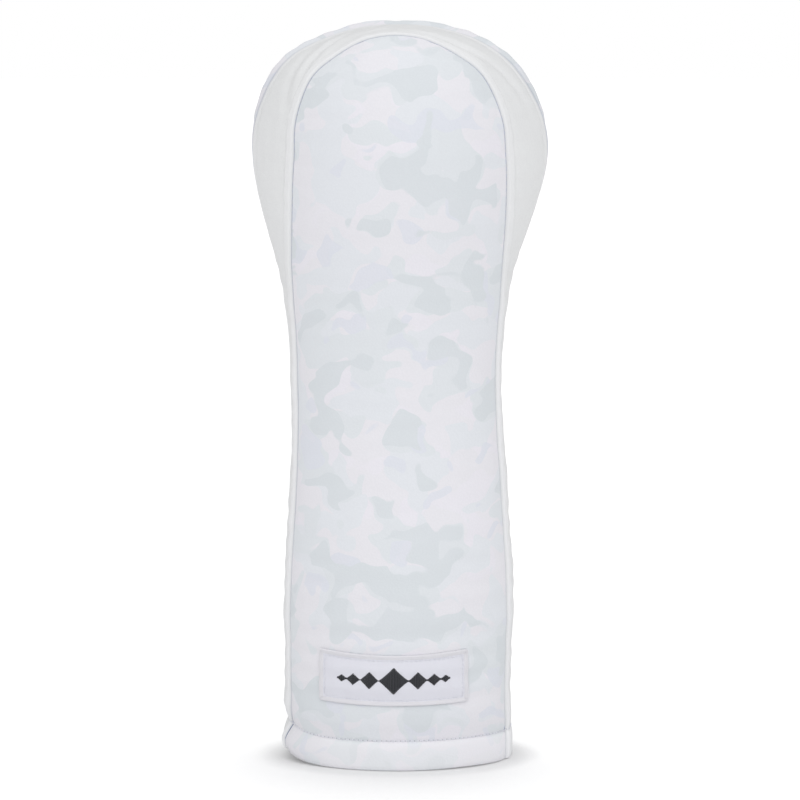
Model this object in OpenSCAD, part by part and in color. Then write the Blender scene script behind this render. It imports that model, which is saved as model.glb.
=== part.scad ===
// Driver head cover: a padded, lined sock for a golf driver.
// Three outer panels (front, back and one gusset that runs up one side, over
// the crown and down the other) are sewn along two arched seams. Foam and a
// soft lining repeat the same three panels inside, an elastic ring pulls the
// neck in, and the mouth is finished with a turned and topstitched hem.
//
// Frame: millimetres, +Z up. The cover stands on its hem, so the mouth is the
// plane z = 0, centred on the origin. -Y is the front panel, +X the right side.

/* [Overall] */
// Height of the cover from hem to crown
total_h = 330; // [300:1:360]
// Widest outside width, across the back panel at the head
head_w = 134; // [124:1:146]
// Outside width at the neck
neck_w = 95.4; // [86:0.2:104]
// Outside width just above the hem
mouth_w = 103.8; // [96:0.2:112]
// Outside depth at the head
head_d = 106; // [96:1:116]
// Outside depth at the neck
neck_d = 77; // [70:1:84]
// Outside depth at the mouth
mouth_d = 84; // [76:1:92]

/* [Front panel and gusset] */
// Width of the front panel where its arch starts
panel_w = 95; // [86:1:100]
// How far the front panel's arch stays below the crown
panel_drop = 6; // [3:0.5:10]
// Width of the gusset strip beside the neck and mouth
gusset_w = 30; // [24:1:36]
// Width of the gusset strip across the crown
crown_w = 39.5; // [34:0.5:46]
// How far the gusset bulges past its two seams
gusset_bulge = 3.2; // [2:0.1:5]

/* [Cloth layers] */
// Thickness of the outer coated cloth
shell_t = 1.1; // [0.8:0.1:1.6]
// Thickness of the foam padding
foam_t = 3; // [2:0.5:5]
// Thickness of the fleece lining
lining_t = 1.8; // [1:0.1:3]
// Open groove left along each sewn seam
seam_gap = 0.3; // [0.2:0.1:0.8]
// Strip along each seam that the foam leaves free
seam_margin = 1.2; // [0.8:0.1:2]

/* [Hem] */
// Height of the turned hem
hem_h = 15; // [10:0.5:20]
// Height of the hem's topstitching
stitch_z = 13.4; // [8:0.2:18]
// Thickness of the sewing thread
thread_t = 0.45; // [0.3:0.05:0.8]

/* [Neck elastic] */
// Height of the lower edge of the elastic
elastic_z = 151; // [145:1:155]
// Width of the elastic webbing
elastic_w = 25; // [20:1:28]
// Thickness of the elastic webbing
elastic_t = 0.9; // [0.6:0.1:1.2]

/* [Label] */
// Width of the sewn label
label_w = 65.5; // [50:0.5:72]
// Height of the sewn label
label_h = 22.5; // [16:0.5:26]
// Height of the label's middle above the hem's edge
label_z = 40.5; // [34:0.5:60]
// Sideways place of the label's middle
label_x = -2; // [-4:0.5:4]
// Thickness of the label cloth
label_t = 0.7; // [0.5:0.1:1]
// Width of the label's raised edging
edging_w = 2; // [1.5:0.1:3]
// How far the label's middle dips below its ends
label_dip = 0.7; // [0:0.1:1.5]

/* [Detail] */
// Rows of facets between two stations of the loft
detail = 2; // [1:1:3]

/* [Hidden] */

shell_color = [0.89, 0.90, 0.92];
foam_color = [0.93, 0.92, 0.86];
lining_color = [0.84, 0.85, 0.87];

// ---------------------------------------------------------------------------
// The loft's driving places. x is a seam's distance from the middle plane.
// ---------------------------------------------------------------------------
step = total_h / 11;        // spacing of stations 0 to 7
unit = total_h / 330;       // one millimetre of height on a 330 mm cover
neck_x = neck_w / 2 - gusset_bulge * 0.92;
mouth_x = mouth_w / 2 - gusset_bulge;
front_x = panel_w / 2;      // front seam at the head
back_x = head_w / 2 * 0.964;  // back seam at the head
seam_y = gusset_w / 2;      // the seams' distance from y = 0, below the head

// y of the front middle and of the back middle
front_mouth = -mouth_d / 2;
front_neck = -neck_d / 2;
front_head = -head_d / 2 + 3;
back_mouth = mouth_d / 2;
back_neck = neck_d / 2;
back_head = head_d / 2 + 3;

// Where the two seams cross x = 0
front_top = total_h - panel_drop;
back_top = total_h - 1.5;
front_top_y = -28;
back_top_y = front_top_y + crown_w;

function blend(a, b, k) = a + (b - a) * k;
function seam_x(k) = blend(neck_x, mouth_x, k);   // from neck to mouth
function front_low(k) = blend(front_neck, front_mouth, k);
function back_low(k) = blend(back_neck, back_mouth, k);
function front_high(k) = blend(front_neck, front_head, k);   // from neck to head
function back_high(k) = blend(back_neck, back_head, k);

// Each station is one level round the cover, its right half, on two lines:
//   front seam x, y, z,  back seam x, y, z,
//   y of the front middle, y of the back middle, front angle, back angle, bulge
// The angles are the ellipse angles, counted from the front, at which the
// front and back arcs meet their seams. The last station is the crown.
stations = [
  [mouth_x, -seam_y + 1, 0,  mouth_x - 0.2, seam_y + 1, 0,
   front_mouth, back_mouth, 70, 110, gusset_bulge],
  [mouth_x, -seam_y + 0.5, step,  mouth_x - 0.3, seam_y + 1, step,
   front_mouth + 0.2, back_mouth, 70, 110, gusset_bulge],
  [seam_x(1.05), -seam_y + 0.5, 2 * step,  seam_x(1.03), seam_y + 1, 2 * step,
   front_mouth + 0.3, back_mouth, 70, 110, gusset_bulge],
  [seam_x(0.85), -seam_y + 0.8, 3 * step,  seam_x(0.80), seam_y + 1, 3 * step,
   front_low(0.7), back_low(0.75), 70, 109, gusset_bulge],
  [seam_x(0.42), -seam_y + 1, 4 * step,  seam_x(0.36), seam_y, 4 * step,
   front_low(0.3), back_low(0.3), 70, 108, gusset_bulge],
  [neck_x + 0.1, -seam_y + 1.2, 5 * step,  neck_x, seam_y - 1, 5 * step,
   front_neck, back_neck, 69, 106, gusset_bulge * 0.95],
  [neck_x + 0.2, -seam_y + 0.3, 6 * step,  neck_x + 0.9, seam_y - 1, 6 * step,
   front_neck - 0.6, back_neck + 1.2, 67, 102, gusset_bulge * 0.85],
  [blend(neck_x, front_x, 0.62), -seam_y - 3.2, 7 * step,
   blend(neck_x, back_x, 0.30), seam_y - 3, 7 * step,
   front_high(0.34), back_high(0.42), 63, 93, gusset_bulge * 0.7],
  [blend(neck_x, front_x, 0.92), -seam_y - 7.2, 232 * unit,
   blend(neck_x, back_x, 0.615), seam_y - 6, 232 * unit,
   front_high(0.68), back_high(0.78), 58, 83, gusset_bulge * 0.6],
  [front_x, -seam_y - 10.8, 252 * unit,
   blend(neck_x, back_x, 0.89), seam_y - 9, 254 * unit,
   front_high(0.92), back_high(0.95), 55, 77, gusset_bulge * 0.6],
  [front_x - 0.7, -seam_y - 13.4, 271 * unit,  back_x, seam_y - 10.5, 275 * unit,
   front_head - 0.4, back_head, 53, 75, gusset_bulge * 0.6],
  [front_x * 0.958, -seam_y - 14.8, 288 * unit,  back_x * 0.962, seam_y - 10.5, 294 * unit,
   front_head + 0.6, back_head - 1.5, 52, 75, gusset_bulge * 0.65],
  [front_x * 0.805, -seam_y - 15.0, front_top - 18,  back_x * 0.822, seam_y - 9, back_top - 17.6,
   front_head + 5.0, back_head - 7.5, 52, 76, gusset_bulge * 0.75],
  [front_x * 0.565, -seam_y - 14.2, front_top - 8.2,  back_x * 0.615, seam_y - 6.6, back_top - 7.2,
   front_head + 12.2, back_head - 17.5, 52, 78, gusset_bulge * 0.85],
  [front_x * 0.295, -seam_y - 13.3, front_top - 2,  back_x * 0.355, seam_y - 4.4, back_top - 1.5,
   front_head + 19.0, back_head - 31, 52, 80, gusset_bulge * 0.95],
  [0, front_top_y, front_top,  0, back_top_y, back_top,
   front_top_y, back_top_y, 52, 82, gusset_bulge]
];
last = len(stations) - 1;
// Signs that turn a station into its mirror image on the left side
mirror_signs = [-1, 1, 1, -1, 1, 1, 1, 1, 1, 1, 1];

function front_seam(row) = [row[0], row[1], row[2]];
function back_seam(row) = [row[3], row[4], row[5]];
function front_middle(row) = row[6];
function back_middle(row) = row[7];
function front_angle(row) = row[8];
function back_angle(row) = row[9];
function bulge(row) = row[10];

// Station i, carried on below the mouth and past the crown
function station(i) =
  i < 0 ? 2 * stations[0] - stations[-i] :
  i > last ? [for (k = [0:len(mirror_signs) - 1]) stations[2 * last - i][k] * mirror_signs[k]] :
  stations[i];

// Catmull-Rom curve from b to c, with neighbours a and d
function catmull_rom(a, b, c, d, t) =
  0.5 * (2 * b + (c - a) * t + (2 * a - 5 * b + 4 * c - d) * t * t
         + (3 * b - a - 3 * c + d) * t * t * t);

// The station row at level v, which counts stations and may be a fraction
function level(v) =
  let (i = min(last - 1, max(0, floor(v))))
  catmull_rom(station(i - 1), station(i), station(i + 1), station(i + 2), v - i);

// Outward direction at a point, from a line up the middle of the cover
spine_y = 2;
spine_z = 252 * unit;
function out_dir(p) =
  let (q = p - [0, spine_y, min(p[2], spine_z)]) q / norm(q);
// The point d millimetres inside p; a negative d lies outside
function inset(p, d) = p - d * out_dir(p);

// The front arc at an ellipse angle, then the side and back arcs at w, 0 to 1
function front_arc(row, angle) =
  let (seam = front_seam(row), end = front_angle(row), middle = front_middle(row))
  [seam[0] * sin(angle) / sin(end),
   middle + (seam[1] - middle) * (1 - cos(angle)) / (1 - cos(end)),
   seam[2]];
function side_arc(row, w) =
  let (front = front_seam(row), back = back_seam(row))
  front + (back - front) * w + out_dir((front + back) / 2) * 4 * w * (1 - w) * bulge(row);
function back_arc(row, w) =
  let (seam = back_seam(row),
       start = back_angle(row),
       middle = back_middle(row),
       angle = start + (180 - start) * w)
  [seam[0] * sin(angle) / sin(start),
   middle - (middle - seam[1]) * (1 + cos(angle)) / (1 + cos(start)),
   seam[2]];

// Girth coordinate g: 0 front middle, 1 front seam, 2 back seam, 3 back
// middle. Negative g is the left half.
function half_surface(row, g) =
  g <= 1 ? front_arc(row, front_angle(row) * g) :
  g <= 2 ? side_arc(row, g - 1) :
  back_arc(row, g - 2);
// A point at level v and girth g, d millimetres inside the outer surface
cloth = function (v, g, d)
  let (p = half_surface(level(v), abs(g))) inset([sign(g) * p[0], p[1], p[2]], d);
// A point of the front panel at a given x and z instead
function on_front(x, z, d) =
  let (row = level(z / step))
  inset(front_arc(row, asin(x * sin(front_angle(row)) / front_seam(row)[0])), d);

// ---------------------------------------------------------------------------
// skin(): one closed sheet of cloth. rows is a list of [v, outer d, inner d],
// cols a list of girths, and place the mapping from (v, girth, d) to a point.
// ring closes the columns on themselves, apex gathers the last row into one
// point, and over carries the rows on over the crown and down the left side.
// ---------------------------------------------------------------------------
module skin(rows, cols, place = cloth, ring = false, apex = false, over = false) {
  path = concat(
    [for (r = rows) concat(r, [1])],
    over ? [for (k = [len(rows) - 2:-1:0]) concat(rows[k], [-1])] : []);
  n = len(path);
  m = len(cols);
  points = [for (layer = [1, 2]) for (r = path) for (c = cols) place(r[0], r[3] * c, r[layer])];
  // Index of a point; layer 0 is the outer face and 1 the inner
  function at(layer, i, j) =
    layer * n * m + i * m + ((apex && i == n - 1) ? 0 : j % m);
  last_j = ring ? m - 1 : m - 2;
  quads = concat(
    [for (i = [0:n - 2]) for (j = [0:last_j])
      [at(0, i, j), at(0, i + 1, j), at(0, i + 1, j + 1), at(0, i, j + 1)]],
    [for (i = [0:n - 2]) for (j = [0:last_j])
      [at(1, i, j), at(1, i, j + 1), at(1, i + 1, j + 1), at(1, i + 1, j)]],
    [for (j = [0:last_j])
      [at(0, 0, j), at(0, 0, j + 1), at(1, 0, j + 1), at(1, 0, j)]],
    [for (j = [0:last_j])
      [at(0, n - 1, j), at(1, n - 1, j), at(1, n - 1, j + 1), at(0, n - 1, j + 1)]],
    ring ? [] : [for (i = [0:n - 2])
      [at(0, i, 0), at(1, i, 0), at(1, i + 1, 0), at(0, i + 1, 0)]],
    ring ? [] : [for (i = [0:n - 2])
      [at(0, i, m - 1), at(0, i + 1, m - 1), at(1, i + 1, m - 1), at(1, i, m - 1)]]);
  // Triangles that the apex flattens to a line are left out
  polyhedron(points = points,
             faces = [for (q = quads) for (t = [[q[0], q[1], q[2]], [q[0], q[2], q[3]]])
                        if (t[0] != t[1] && t[1] != t[2] && t[2] != t[0]) t],
             convexity = 8);
}

// Levels from z0 (in mm) up to station v1
function levels(z0, v1) =
  let (v0 = z0 / step,
       k0 = ceil(v0 * detail + 0.35),
       k1 = floor(v1 * detail - 0.35))
  concat([v0], [for (k = [k0:k1]) k / detail], [v1]);
// The same for the inner layers, which are coarser over the round head
function inner_levels(z0, v1) =
  [for (v = levels(z0, v1)) if (v <= 9 || v == v1 || v == floor(v)) v];
// Rows of one thickness, from depth d0 to d1
function run(vs, d0, d1) = [for (v = vs) [v, d0, d1]];
// Rows given as [z in mm, outer d, inner d]
function z_rows(rows) = [for (r = rows) [r[0] / step, r[1], r[2]]];
// n + 1 even steps from a to b
function even(a, b, n) = [for (k = [0:n]) a + (b - a) * k / n];

front_n = 8;                // columns in half the front panel
side_n = 5;                 // columns in the gusset
back_n = 9;                 // columns in half the back panel
// Girth taken by one millimetre along each arc, nearly
front_mm = 1 / 55;
side_mm = 1 / gusset_w;
back_mm = 1 / 64;

// Columns of the three panels, on one shared grid, cut gap mm short of the seams
function panel_cols(n, e) = concat([-1 + e], [for (k = [1 - n:n - 1]) k / n], [1 - e]);
function front_cols(gap) = panel_cols(front_n, front_mm * gap);
function gusset_cols(gap) =
  let (e = side_mm * gap)
  concat([1 + e], [for (k = [1:side_n - 1]) 1 + k / side_n], [2 - e]);
// These run round the back middle, from girth 2 over 3 to -2
function back_cols(gap) =
  [for (c = panel_cols(back_n, back_mm * gap)) c < 0 ? 3 + c : c - 3];

// Girths once round the cover: up the right half and home on the left
right_girths = concat(
  [for (k = [0:front_n - 1]) k / front_n],
  [for (k = [0:side_n - 1]) 1 + k / side_n],
  [for (k = [0:back_n]) 2 + k / back_n]);
round_girths = concat(
  right_girths,
  [for (k = [len(right_girths) - 2:-1:1]) -right_girths[k]]);

// A closed band round the cover
module band(rows) skin(rows, round_girths, ring = true);

// ---------------------------------------------------------------------------
// Outer shell, with its turned hem of double cloth
// ---------------------------------------------------------------------------
hem_t = 2 * shell_t;
hem_chamfer = 0.35;
shell_rows = concat(
  z_rows([[0, hem_chamfer, hem_t - hem_chamfer],
          [0.4, 0, hem_t],
          [hem_h / 2, 0, hem_t],
          [hem_h, 0, hem_t]]),
  run(levels(hem_h + 0.5, last), 0, shell_t));

module front_panel()
  color(shell_color) skin(shell_rows, front_cols(seam_gap / 2), apex = true);

module back_panel()
  color(shell_color) skin(shell_rows, back_cols(seam_gap / 2), apex = true);

module side_gusset()
  color([0.87, 0.87, 0.87]) skin(shell_rows, gusset_cols(seam_gap / 2), over = true);

// ---------------------------------------------------------------------------
// Foam padding, thinned where the neck elastic lies in it
// ---------------------------------------------------------------------------
foam_out = shell_t + 0.2;             // depth of the foam's outer face
foam_in = shell_t + foam_t;           // and of its inner face
foam_edge_in = foam_out + foam_t * 0.3;   // inner face at its thin lower edge
full_z = hem_h + 9;                   // height where the padding is full
elastic_in = foam_in - 0.5;
elastic_out = elastic_in - elastic_t;
elastic_top = elastic_z + elastic_w;
foam_top = last - 0.42;               // level where the front and back foam end

// Levels of the elastic's middle and of its two edges, widened by margin mm
function elastic_levels(margin) =
  [for (z = [elastic_z - margin, elastic_z + elastic_w / 2, elastic_top + margin]) z / step];
function foam_rows(top) = concat(
  z_rows([[hem_h + 3, foam_out, foam_edge_in],
          [full_z, foam_out, foam_in]]),
  run(levels(step, (elastic_z - 2.5) / step), foam_out, foam_in),
  run(elastic_levels(0.8), foam_out, elastic_out - 0.08),
  run(inner_levels(elastic_top + 2.5, top), foam_out, foam_in));

module front_foam()
  color(foam_color) skin(foam_rows(foam_top), front_cols(seam_margin));

module back_foam()
  color(foam_color) skin(foam_rows(foam_top), back_cols(seam_margin));

module gusset_foam()
  color(foam_color) skin(foam_rows(last), gusset_cols(seam_margin), over = true);

// ---------------------------------------------------------------------------
// Fleece lining, which meets the shell just above the hem
// ---------------------------------------------------------------------------
lining_out = foam_in + 0.1;
lining_in = lining_out + lining_t;
lining_edge_out = foam_edge_in + 0.15;
lining_gap = 0.15;                    // kept free beside each seam
lining_top = last - 0.05;             // level where the front and back lining end

function lining_rows(top) = concat(
  z_rows([[hem_h + 0.7, foam_out, foam_out + lining_t * 0.7],
          [hem_h + 2.6, lining_edge_out, lining_edge_out + lining_t],
          [full_z, lining_out + 0.05, lining_in]]),
  run(inner_levels(step, top), lining_out, lining_in));

module front_lining()
  color(lining_color) skin(lining_rows(lining_top), front_cols(lining_gap));

module back_lining()
  color(lining_color) skin(lining_rows(lining_top), back_cols(lining_gap));

module gusset_lining()
  color(lining_color) skin(lining_rows(last), gusset_cols(lining_gap), over = true);

// ---------------------------------------------------------------------------
// Neck elastic, and the rings of thread
// ---------------------------------------------------------------------------
elastic_stitch_inset = 3;             // from each edge of the elastic
elastic_stitch_out = lining_in + 0.06;
topstitch_in = -0.04;                 // just outside the cloth

module neck_elastic()
  color([0.96, 0.96, 0.95]) band(run(elastic_levels(0), elastic_out, elastic_in));

// One row of thread at height z, with its outer face at depth d
module thread_ring(z, d)
  band(z_rows([for (edge = [z - thread_t, z + thread_t]) [edge, d, d + thread_t]]));

// Two rows on the inside of the lining, along the elastic
module elastic_stitching()
  color([0.95, 0.95, 0.95])
    for (z = [elastic_z + elastic_stitch_inset, elastic_top - elastic_stitch_inset])
      thread_ring(z, elastic_stitch_out);

// Topstitching that holds the hem, on the outside of the cloth
module hem_topstitch()
  color([0.90, 0.90, 0.92]) thread_ring(stitch_z, topstitch_in - thread_t);

// ---------------------------------------------------------------------------
// Seam threads, behind the seam they close, up from the hem and over the crown
// ---------------------------------------------------------------------------
seam_thread_half = 0.4;
front_thread_cols = [1 - seam_thread_half * front_mm, 1 + seam_thread_half * side_mm];
back_thread_cols = [2 - seam_thread_half * side_mm, 2 + seam_thread_half * back_mm];
shell_thread_rows = run(levels(hem_h + 2, last), foam_out + 0.05, foam_out + 0.75);
lining_thread_rows = run(levels(hem_h + 10, last), elastic_in + 0.12, lining_out - 0.08);

module seam_thread(rows, cols)
  color([0.93, 0.93, 0.94]) skin(rows, cols, over = true);

module front_seam_thread() seam_thread(shell_thread_rows, front_thread_cols);
module back_seam_thread() seam_thread(shell_thread_rows, back_thread_cols);
module lining_front_seam_thread() seam_thread(lining_thread_rows, front_thread_cols);
module lining_back_seam_thread() seam_thread(lining_thread_rows, back_thread_cols);

// ---------------------------------------------------------------------------
// Sewn label on the front panel
// ---------------------------------------------------------------------------
label_in = -0.08;                     // back of the label, just off the cloth
label_out = label_in - label_t;
stitch_in = -label_t - 0.16;          // back of the thread on the label's face

// Label coordinates, from its middle: up, across and depth
on_label = function (up, across, d)
  on_front(label_x + across,
           label_z + up - label_dip * (1 - pow(2 * across / label_w, 2)),
           d);

module label_patch()
  color([0.92, 0.92, 0.95])
    skin(run(even(-label_h / 2 + edging_w, label_h / 2 - edging_w, 4), label_out, label_in),
         even(-label_w / 2 + edging_w, label_w / 2 - edging_w, 14),
         on_label);

// Points round the label's outline, k mm in from its edge, as [across, up]
function frame_path(k) =
  let (x = label_w / 2 - k,
       y = label_h / 2 - k,
       half = concat([for (q = even(-1, 1, 12)) [q * x, -y]],
                     [for (q = [-0.5, 0, 0.5]) [x, q * y]]))
  concat(half, [for (p = half) -p]);

// A frame round the label; rows are [distance from its edge, outer d, inner d]
module label_frame(rows)
  skin(rows,
       [for (k = [0:len(frame_path(0)) - 1]) k],
       function (k, j, d) let (p = frame_path(k)[j]) on_label(p[1], p[0], d),
       ring = true);

module label_edging()
  color([0.95, 0.95, 0.96])
    label_frame([[0, -0.6, label_in],
                 [edging_w * 0.33, -1.35, label_in],
                 [edging_w * 0.66, -1.35, label_in],
                 [edging_w - 0.05, -1, label_in]]);

module label_stitching()
  color([0.97, 0.97, 0.98])
    label_frame(run([edging_w + 0.35, edging_w + 0.75], -label_t - 0.45, stitch_in));

// Lozenge of raised satin stitch, its middle at x across the label
module lozenge(x, width, height)
  skin([for (q = even(-1, 1, 4))
          [q * height / 2, -label_t - 0.9 + 0.4 * abs(q), stitch_in]],
       even(-1, 1, width > 7 ? 4 : 2),
       function (up, k, d)
         on_label(up, x + k * (width / 2) * (1.02 - abs(2 * up / height)), d));

// Lozenges on each side of the middle one: [distance from it, width, height]
side_lozenges = [[10.5, 8, 8], [17.5, 6, 5.5], [22.5, 4.2, 3.6]];

module label_motif()
  color([0.10, 0.11, 0.13]) {
    lozenge(0, 13, 12);
    for (side = [-1, 1])
      for (item = side_lozenges)
        lozenge(side * item[0], item[1], item[2]);
  }

// ---------------------------------------------------------------------------
// Small satin tag sewn into the mouth, against the back lining, right of middle
// ---------------------------------------------------------------------------
tag_t = 0.3;
tag_girths = [2.66, 2.86];

module care_tag()
  color([0.97, 0.97, 0.97])
    skin(z_rows([for (z = even(hem_h - 4, hem_h + 24, 5))
                   let (d = z < hem_h + 1 ? hem_t + 0.15 : lining_in + 0.3)
                   [z, d, d + tag_t]]),
         even(tag_girths[0], tag_girths[1], 3));

front_panel();
back_panel();
side_gusset();
front_foam();
back_foam();
gusset_foam();
front_lining();
back_lining();
gusset_lining();
neck_elastic();
elastic_stitching();
front_seam_thread();
back_seam_thread();
lining_front_seam_thread();
lining_back_seam_thread();
hem_topstitch();
label_patch();
label_edging();
label_motif();
label_stitching();
care_tag();
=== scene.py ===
import itertools
import math

import bpy
import numpy as np
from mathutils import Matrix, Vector
from mathutils.kdtree import KDTree


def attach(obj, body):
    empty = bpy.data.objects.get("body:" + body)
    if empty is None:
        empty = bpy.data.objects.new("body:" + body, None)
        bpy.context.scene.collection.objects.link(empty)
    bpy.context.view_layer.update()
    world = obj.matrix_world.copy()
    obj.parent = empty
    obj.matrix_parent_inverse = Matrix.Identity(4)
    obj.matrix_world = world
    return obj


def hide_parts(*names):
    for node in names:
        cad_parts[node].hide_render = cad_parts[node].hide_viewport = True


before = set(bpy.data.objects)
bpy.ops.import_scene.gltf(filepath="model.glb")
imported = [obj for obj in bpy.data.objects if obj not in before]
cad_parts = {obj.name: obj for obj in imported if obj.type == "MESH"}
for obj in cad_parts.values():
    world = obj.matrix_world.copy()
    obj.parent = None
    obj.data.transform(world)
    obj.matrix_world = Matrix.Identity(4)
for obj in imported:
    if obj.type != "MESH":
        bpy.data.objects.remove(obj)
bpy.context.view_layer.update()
MM = 0.001

# Driving sizes of the loft, which the CAD frame is also cut from
TOTAL_H, HEAD_W, NECK_W, MOUTH_W = 330.0, 134.0, 95.4, 103.8
HEAD_D, NECK_D, MOUTH_D = 106.0, 77.0, 84.0
PANEL_W, PANEL_DROP, GUSSET_W, CROWN_W, BULGE = 95.0, 6.0, 30.0, 39.5, 3.2
STEP = TOTAL_H / 11.0  # height of one level in the lower part
SPINE_Y, SPINE_TOP = 2.0, 252.0  # upright line the surface faces away from

# Cloth layers and the hem
SHELL_T, FOAM_T, LINING_T = 1.1, 3.0, 1.8
HEM_H, STITCH_Z, STITCH_PITCH = 15.0, 13.4, 2.1
ELASTIC_Z, ELASTIC_W, ELASTIC_T = 151.0, 25.0, 0.9

# Label: size, centre, height at its ends, sag of its middle, growth in height at its ends
LABEL_W, LABEL_H, LABEL_X, LABEL_T = 65.5, 22.5, -2.0, 0.7
LABEL_END_Z, LABEL_SAG, LABEL_SPREAD = 41.87, 1.42, 0.046
EDGING_W = 2.0


# --- Small maths ---
def mix(start, end, share):
    return start + (end - start) * share


def unit(vectors):
    return vectors / np.maximum(np.linalg.norm(vectors, axis=-1, keepdims=True), 1e-9)


def smooth(x, start, end):
    share = np.clip((x - start) / (end - start), 0, 1)
    return share * share * (3 - 2 * share)


def plateau(x, rise_from, rise_to, fall_from, fall_to):
    return smooth(x, rise_from, rise_to) * (1 - smooth(x, fall_from, fall_to))


def bell(x, centre, width):
    return np.exp(-(((x - centre) / width) ** 2))


def table(x, knots, blur=4.0):
    """Knots (places, values) read without kinks: linear, then blurred by some millimetres."""
    places, values = knots
    fine = np.arange(places[0] - 30.0, places[-1] + 30.0, 0.5)
    kernel = np.exp(-((np.arange(-24, 25) * 0.5 / blur) ** 2))
    padded = np.pad(np.interp(fine, places, values), 24, mode="edge")
    return np.interp(x, fine, np.convolve(padded, kernel / kernel.sum(), mode="valid"))


def arc_length(points):
    steps = np.linalg.norm(np.diff(points, axis=0), axis=1)
    return np.concatenate([[0], np.cumsum(steps)])


def resample(at, along, rows):
    """Three-column rows, known at the lengths along, read at other lengths."""
    return np.stack([np.interp(at, along, rows[:, k]) for k in range(3)], -1)


def lattice_value(x, y, z, seed):
    bits = (x * 374761393 + y * 668265263 + z * 1440662683 + seed * 974634777) & 0xFFFFFFFF
    bits = ((bits ^ (bits >> 13)) * 1274126177) & 0xFFFFFFFF
    bits = ((bits ^ (bits >> 15)) * 2246822519) & 0xFFFFFFFF
    return ((bits ^ (bits >> 16)) & 0xFFFFF) / float(0xFFFFF) * 2 - 1


def noise3(points, seed):
    """Smooth value noise, -1..1, of points (..., 3)."""
    floor_ = np.floor(points)
    cell = floor_.astype(np.int64) + 4096
    share = points - floor_
    share = share**3 * (share * (share * 6 - 15) + 10)
    total = 0
    for corner in itertools.product((0, 1), repeat=3):
        weight_x, weight_y, weight_z = (
            share[..., k] if step else 1 - share[..., k] for k, step in enumerate(corner)
        )
        value = lattice_value(*(cell[..., k] + corner[k] for k in range(3)), seed)
        total = total + weight_x * weight_y * weight_z * value
    return total


def noise1(x, seed):
    x = np.asarray(x, float)
    return noise3(np.stack([x, np.full_like(x, 0.37), np.full_like(x, 0.61)], -1), seed)


# --- The loft ---
def build_stations():
    """One row per level. Columns: front seam z, x, y; back seam z, x, y; y of the front's
    and of the back's middle; arcs of front and back in degrees; bulge of the gusset."""
    neck = NECK_W / 2 - BULGE * 0.92
    mouth = MOUTH_W / 2 - BULGE
    panel = PANEL_W / 2
    head = HEAD_W / 2 * 0.964
    half = GUSSET_W / 2
    fm, fn, fh = -MOUTH_D / 2, -NECK_D / 2, -HEAD_D / 2 + 3  # front at mouth, neck, head
    bm, bn, bh = MOUTH_D / 2, NECK_D / 2, HEAD_D / 2 + 3  # back at mouth, neck, head
    front_top = TOTAL_H - PANEL_DROP
    back_top = TOTAL_H - 1.5
    crown_front = -28.0
    crown_back = crown_front + CROWN_W
    lower = [
        [mouth, -half + 1, mouth - 0.2, half + 1, fm, bm, 70, 110, 1],
        [mouth, -half + 0.5, mouth - 0.3, half + 1, fm + 0.2, bm, 70, 110, 1],
        [mix(neck, mouth, 1.05), -half + 0.5, mix(neck, mouth, 1.03), half + 1,
         fm + 0.3, bm, 70, 110, 1],
        [mix(neck, mouth, 0.85), -half + 0.8, mix(neck, mouth, 0.80), half + 1,
         mix(fn, fm, 0.7), mix(bn, bm, 0.75), 70, 109, 1],
        [mix(neck, mouth, 0.42), -half + 1, mix(neck, mouth, 0.36), half,
         mix(fn, fm, 0.3), mix(bn, bm, 0.3), 70, 108, 1],
        [neck + 0.1, -half + 1.2, neck, half - 1, fn, bn, 69, 106, 0.95],
        [neck + 0.2, -half + 0.3, neck + 0.9, half - 1, fn - 0.6, bn + 1.2, 67, 102, 0.85],
        [mix(neck, panel, 0.62), -half - 3.2, mix(neck, head, 0.30), half - 3,
         mix(fn, fh, 0.34), mix(bn, bh, 0.42), 63, 93, 0.7],
    ]
    rows = [[k * STEP, *row[:2], k * STEP, *row[2:]] for k, row in enumerate(lower)]
    rows += [
        [232, mix(neck, panel, 0.92), -half - 7.2, 232, mix(neck, head, 0.615), half - 6,
         mix(fn, fh, 0.68), mix(bn, bh, 0.78), 58, 83, 0.6],
        [252, panel, -half - 10.8, 254, mix(neck, head, 0.89), half - 9,
         mix(fn, fh, 0.92), mix(bn, bh, 0.95), 55, 77, 0.6],
        [271, panel - 0.7, -half - 13.4, 275, head, half - 10.5, fh - 0.4, bh, 53, 75, 0.6],
        [288, panel * 0.958, -half - 14.8, 294, head * 0.962, half - 10.5,
         fh + 0.6, bh - 1.5, 52, 75, 0.65],
        [front_top - 18, panel * 0.805, -half - 15.0, back_top - 17.6, head * 0.822, half - 9,
         fh + 5.0, bh - 7.5, 52, 76, 0.75],
        [front_top - 8.2, panel * 0.565, -half - 14.2, back_top - 7.2, head * 0.615, half - 6.6,
         fh + 12.2, bh - 17.5, 52, 78, 0.85],
        [front_top - 2.0, panel * 0.295, -half - 13.3, back_top - 1.5, head * 0.355, half - 4.4,
         fh + 19.0, bh - 31, 52, 80, 0.95],
        [front_top, 0, crown_front, back_top, 0, crown_back, crown_front, crown_back, 52, 82, 1],
    ]
    stations = np.array(rows, float)
    stations[:, 10] *= BULGE
    return stations


STATIONS = build_stations()
LAST = len(STATIONS) - 1
MIRROR = np.array([1, -1, 1, 1, -1, 1, 1, 1, 1, 1, 1], float)
EXTENDED = np.vstack([2 * STATIONS[0] - STATIONS[1], STATIONS, STATIONS[LAST - 1] * MIRROR])


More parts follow.
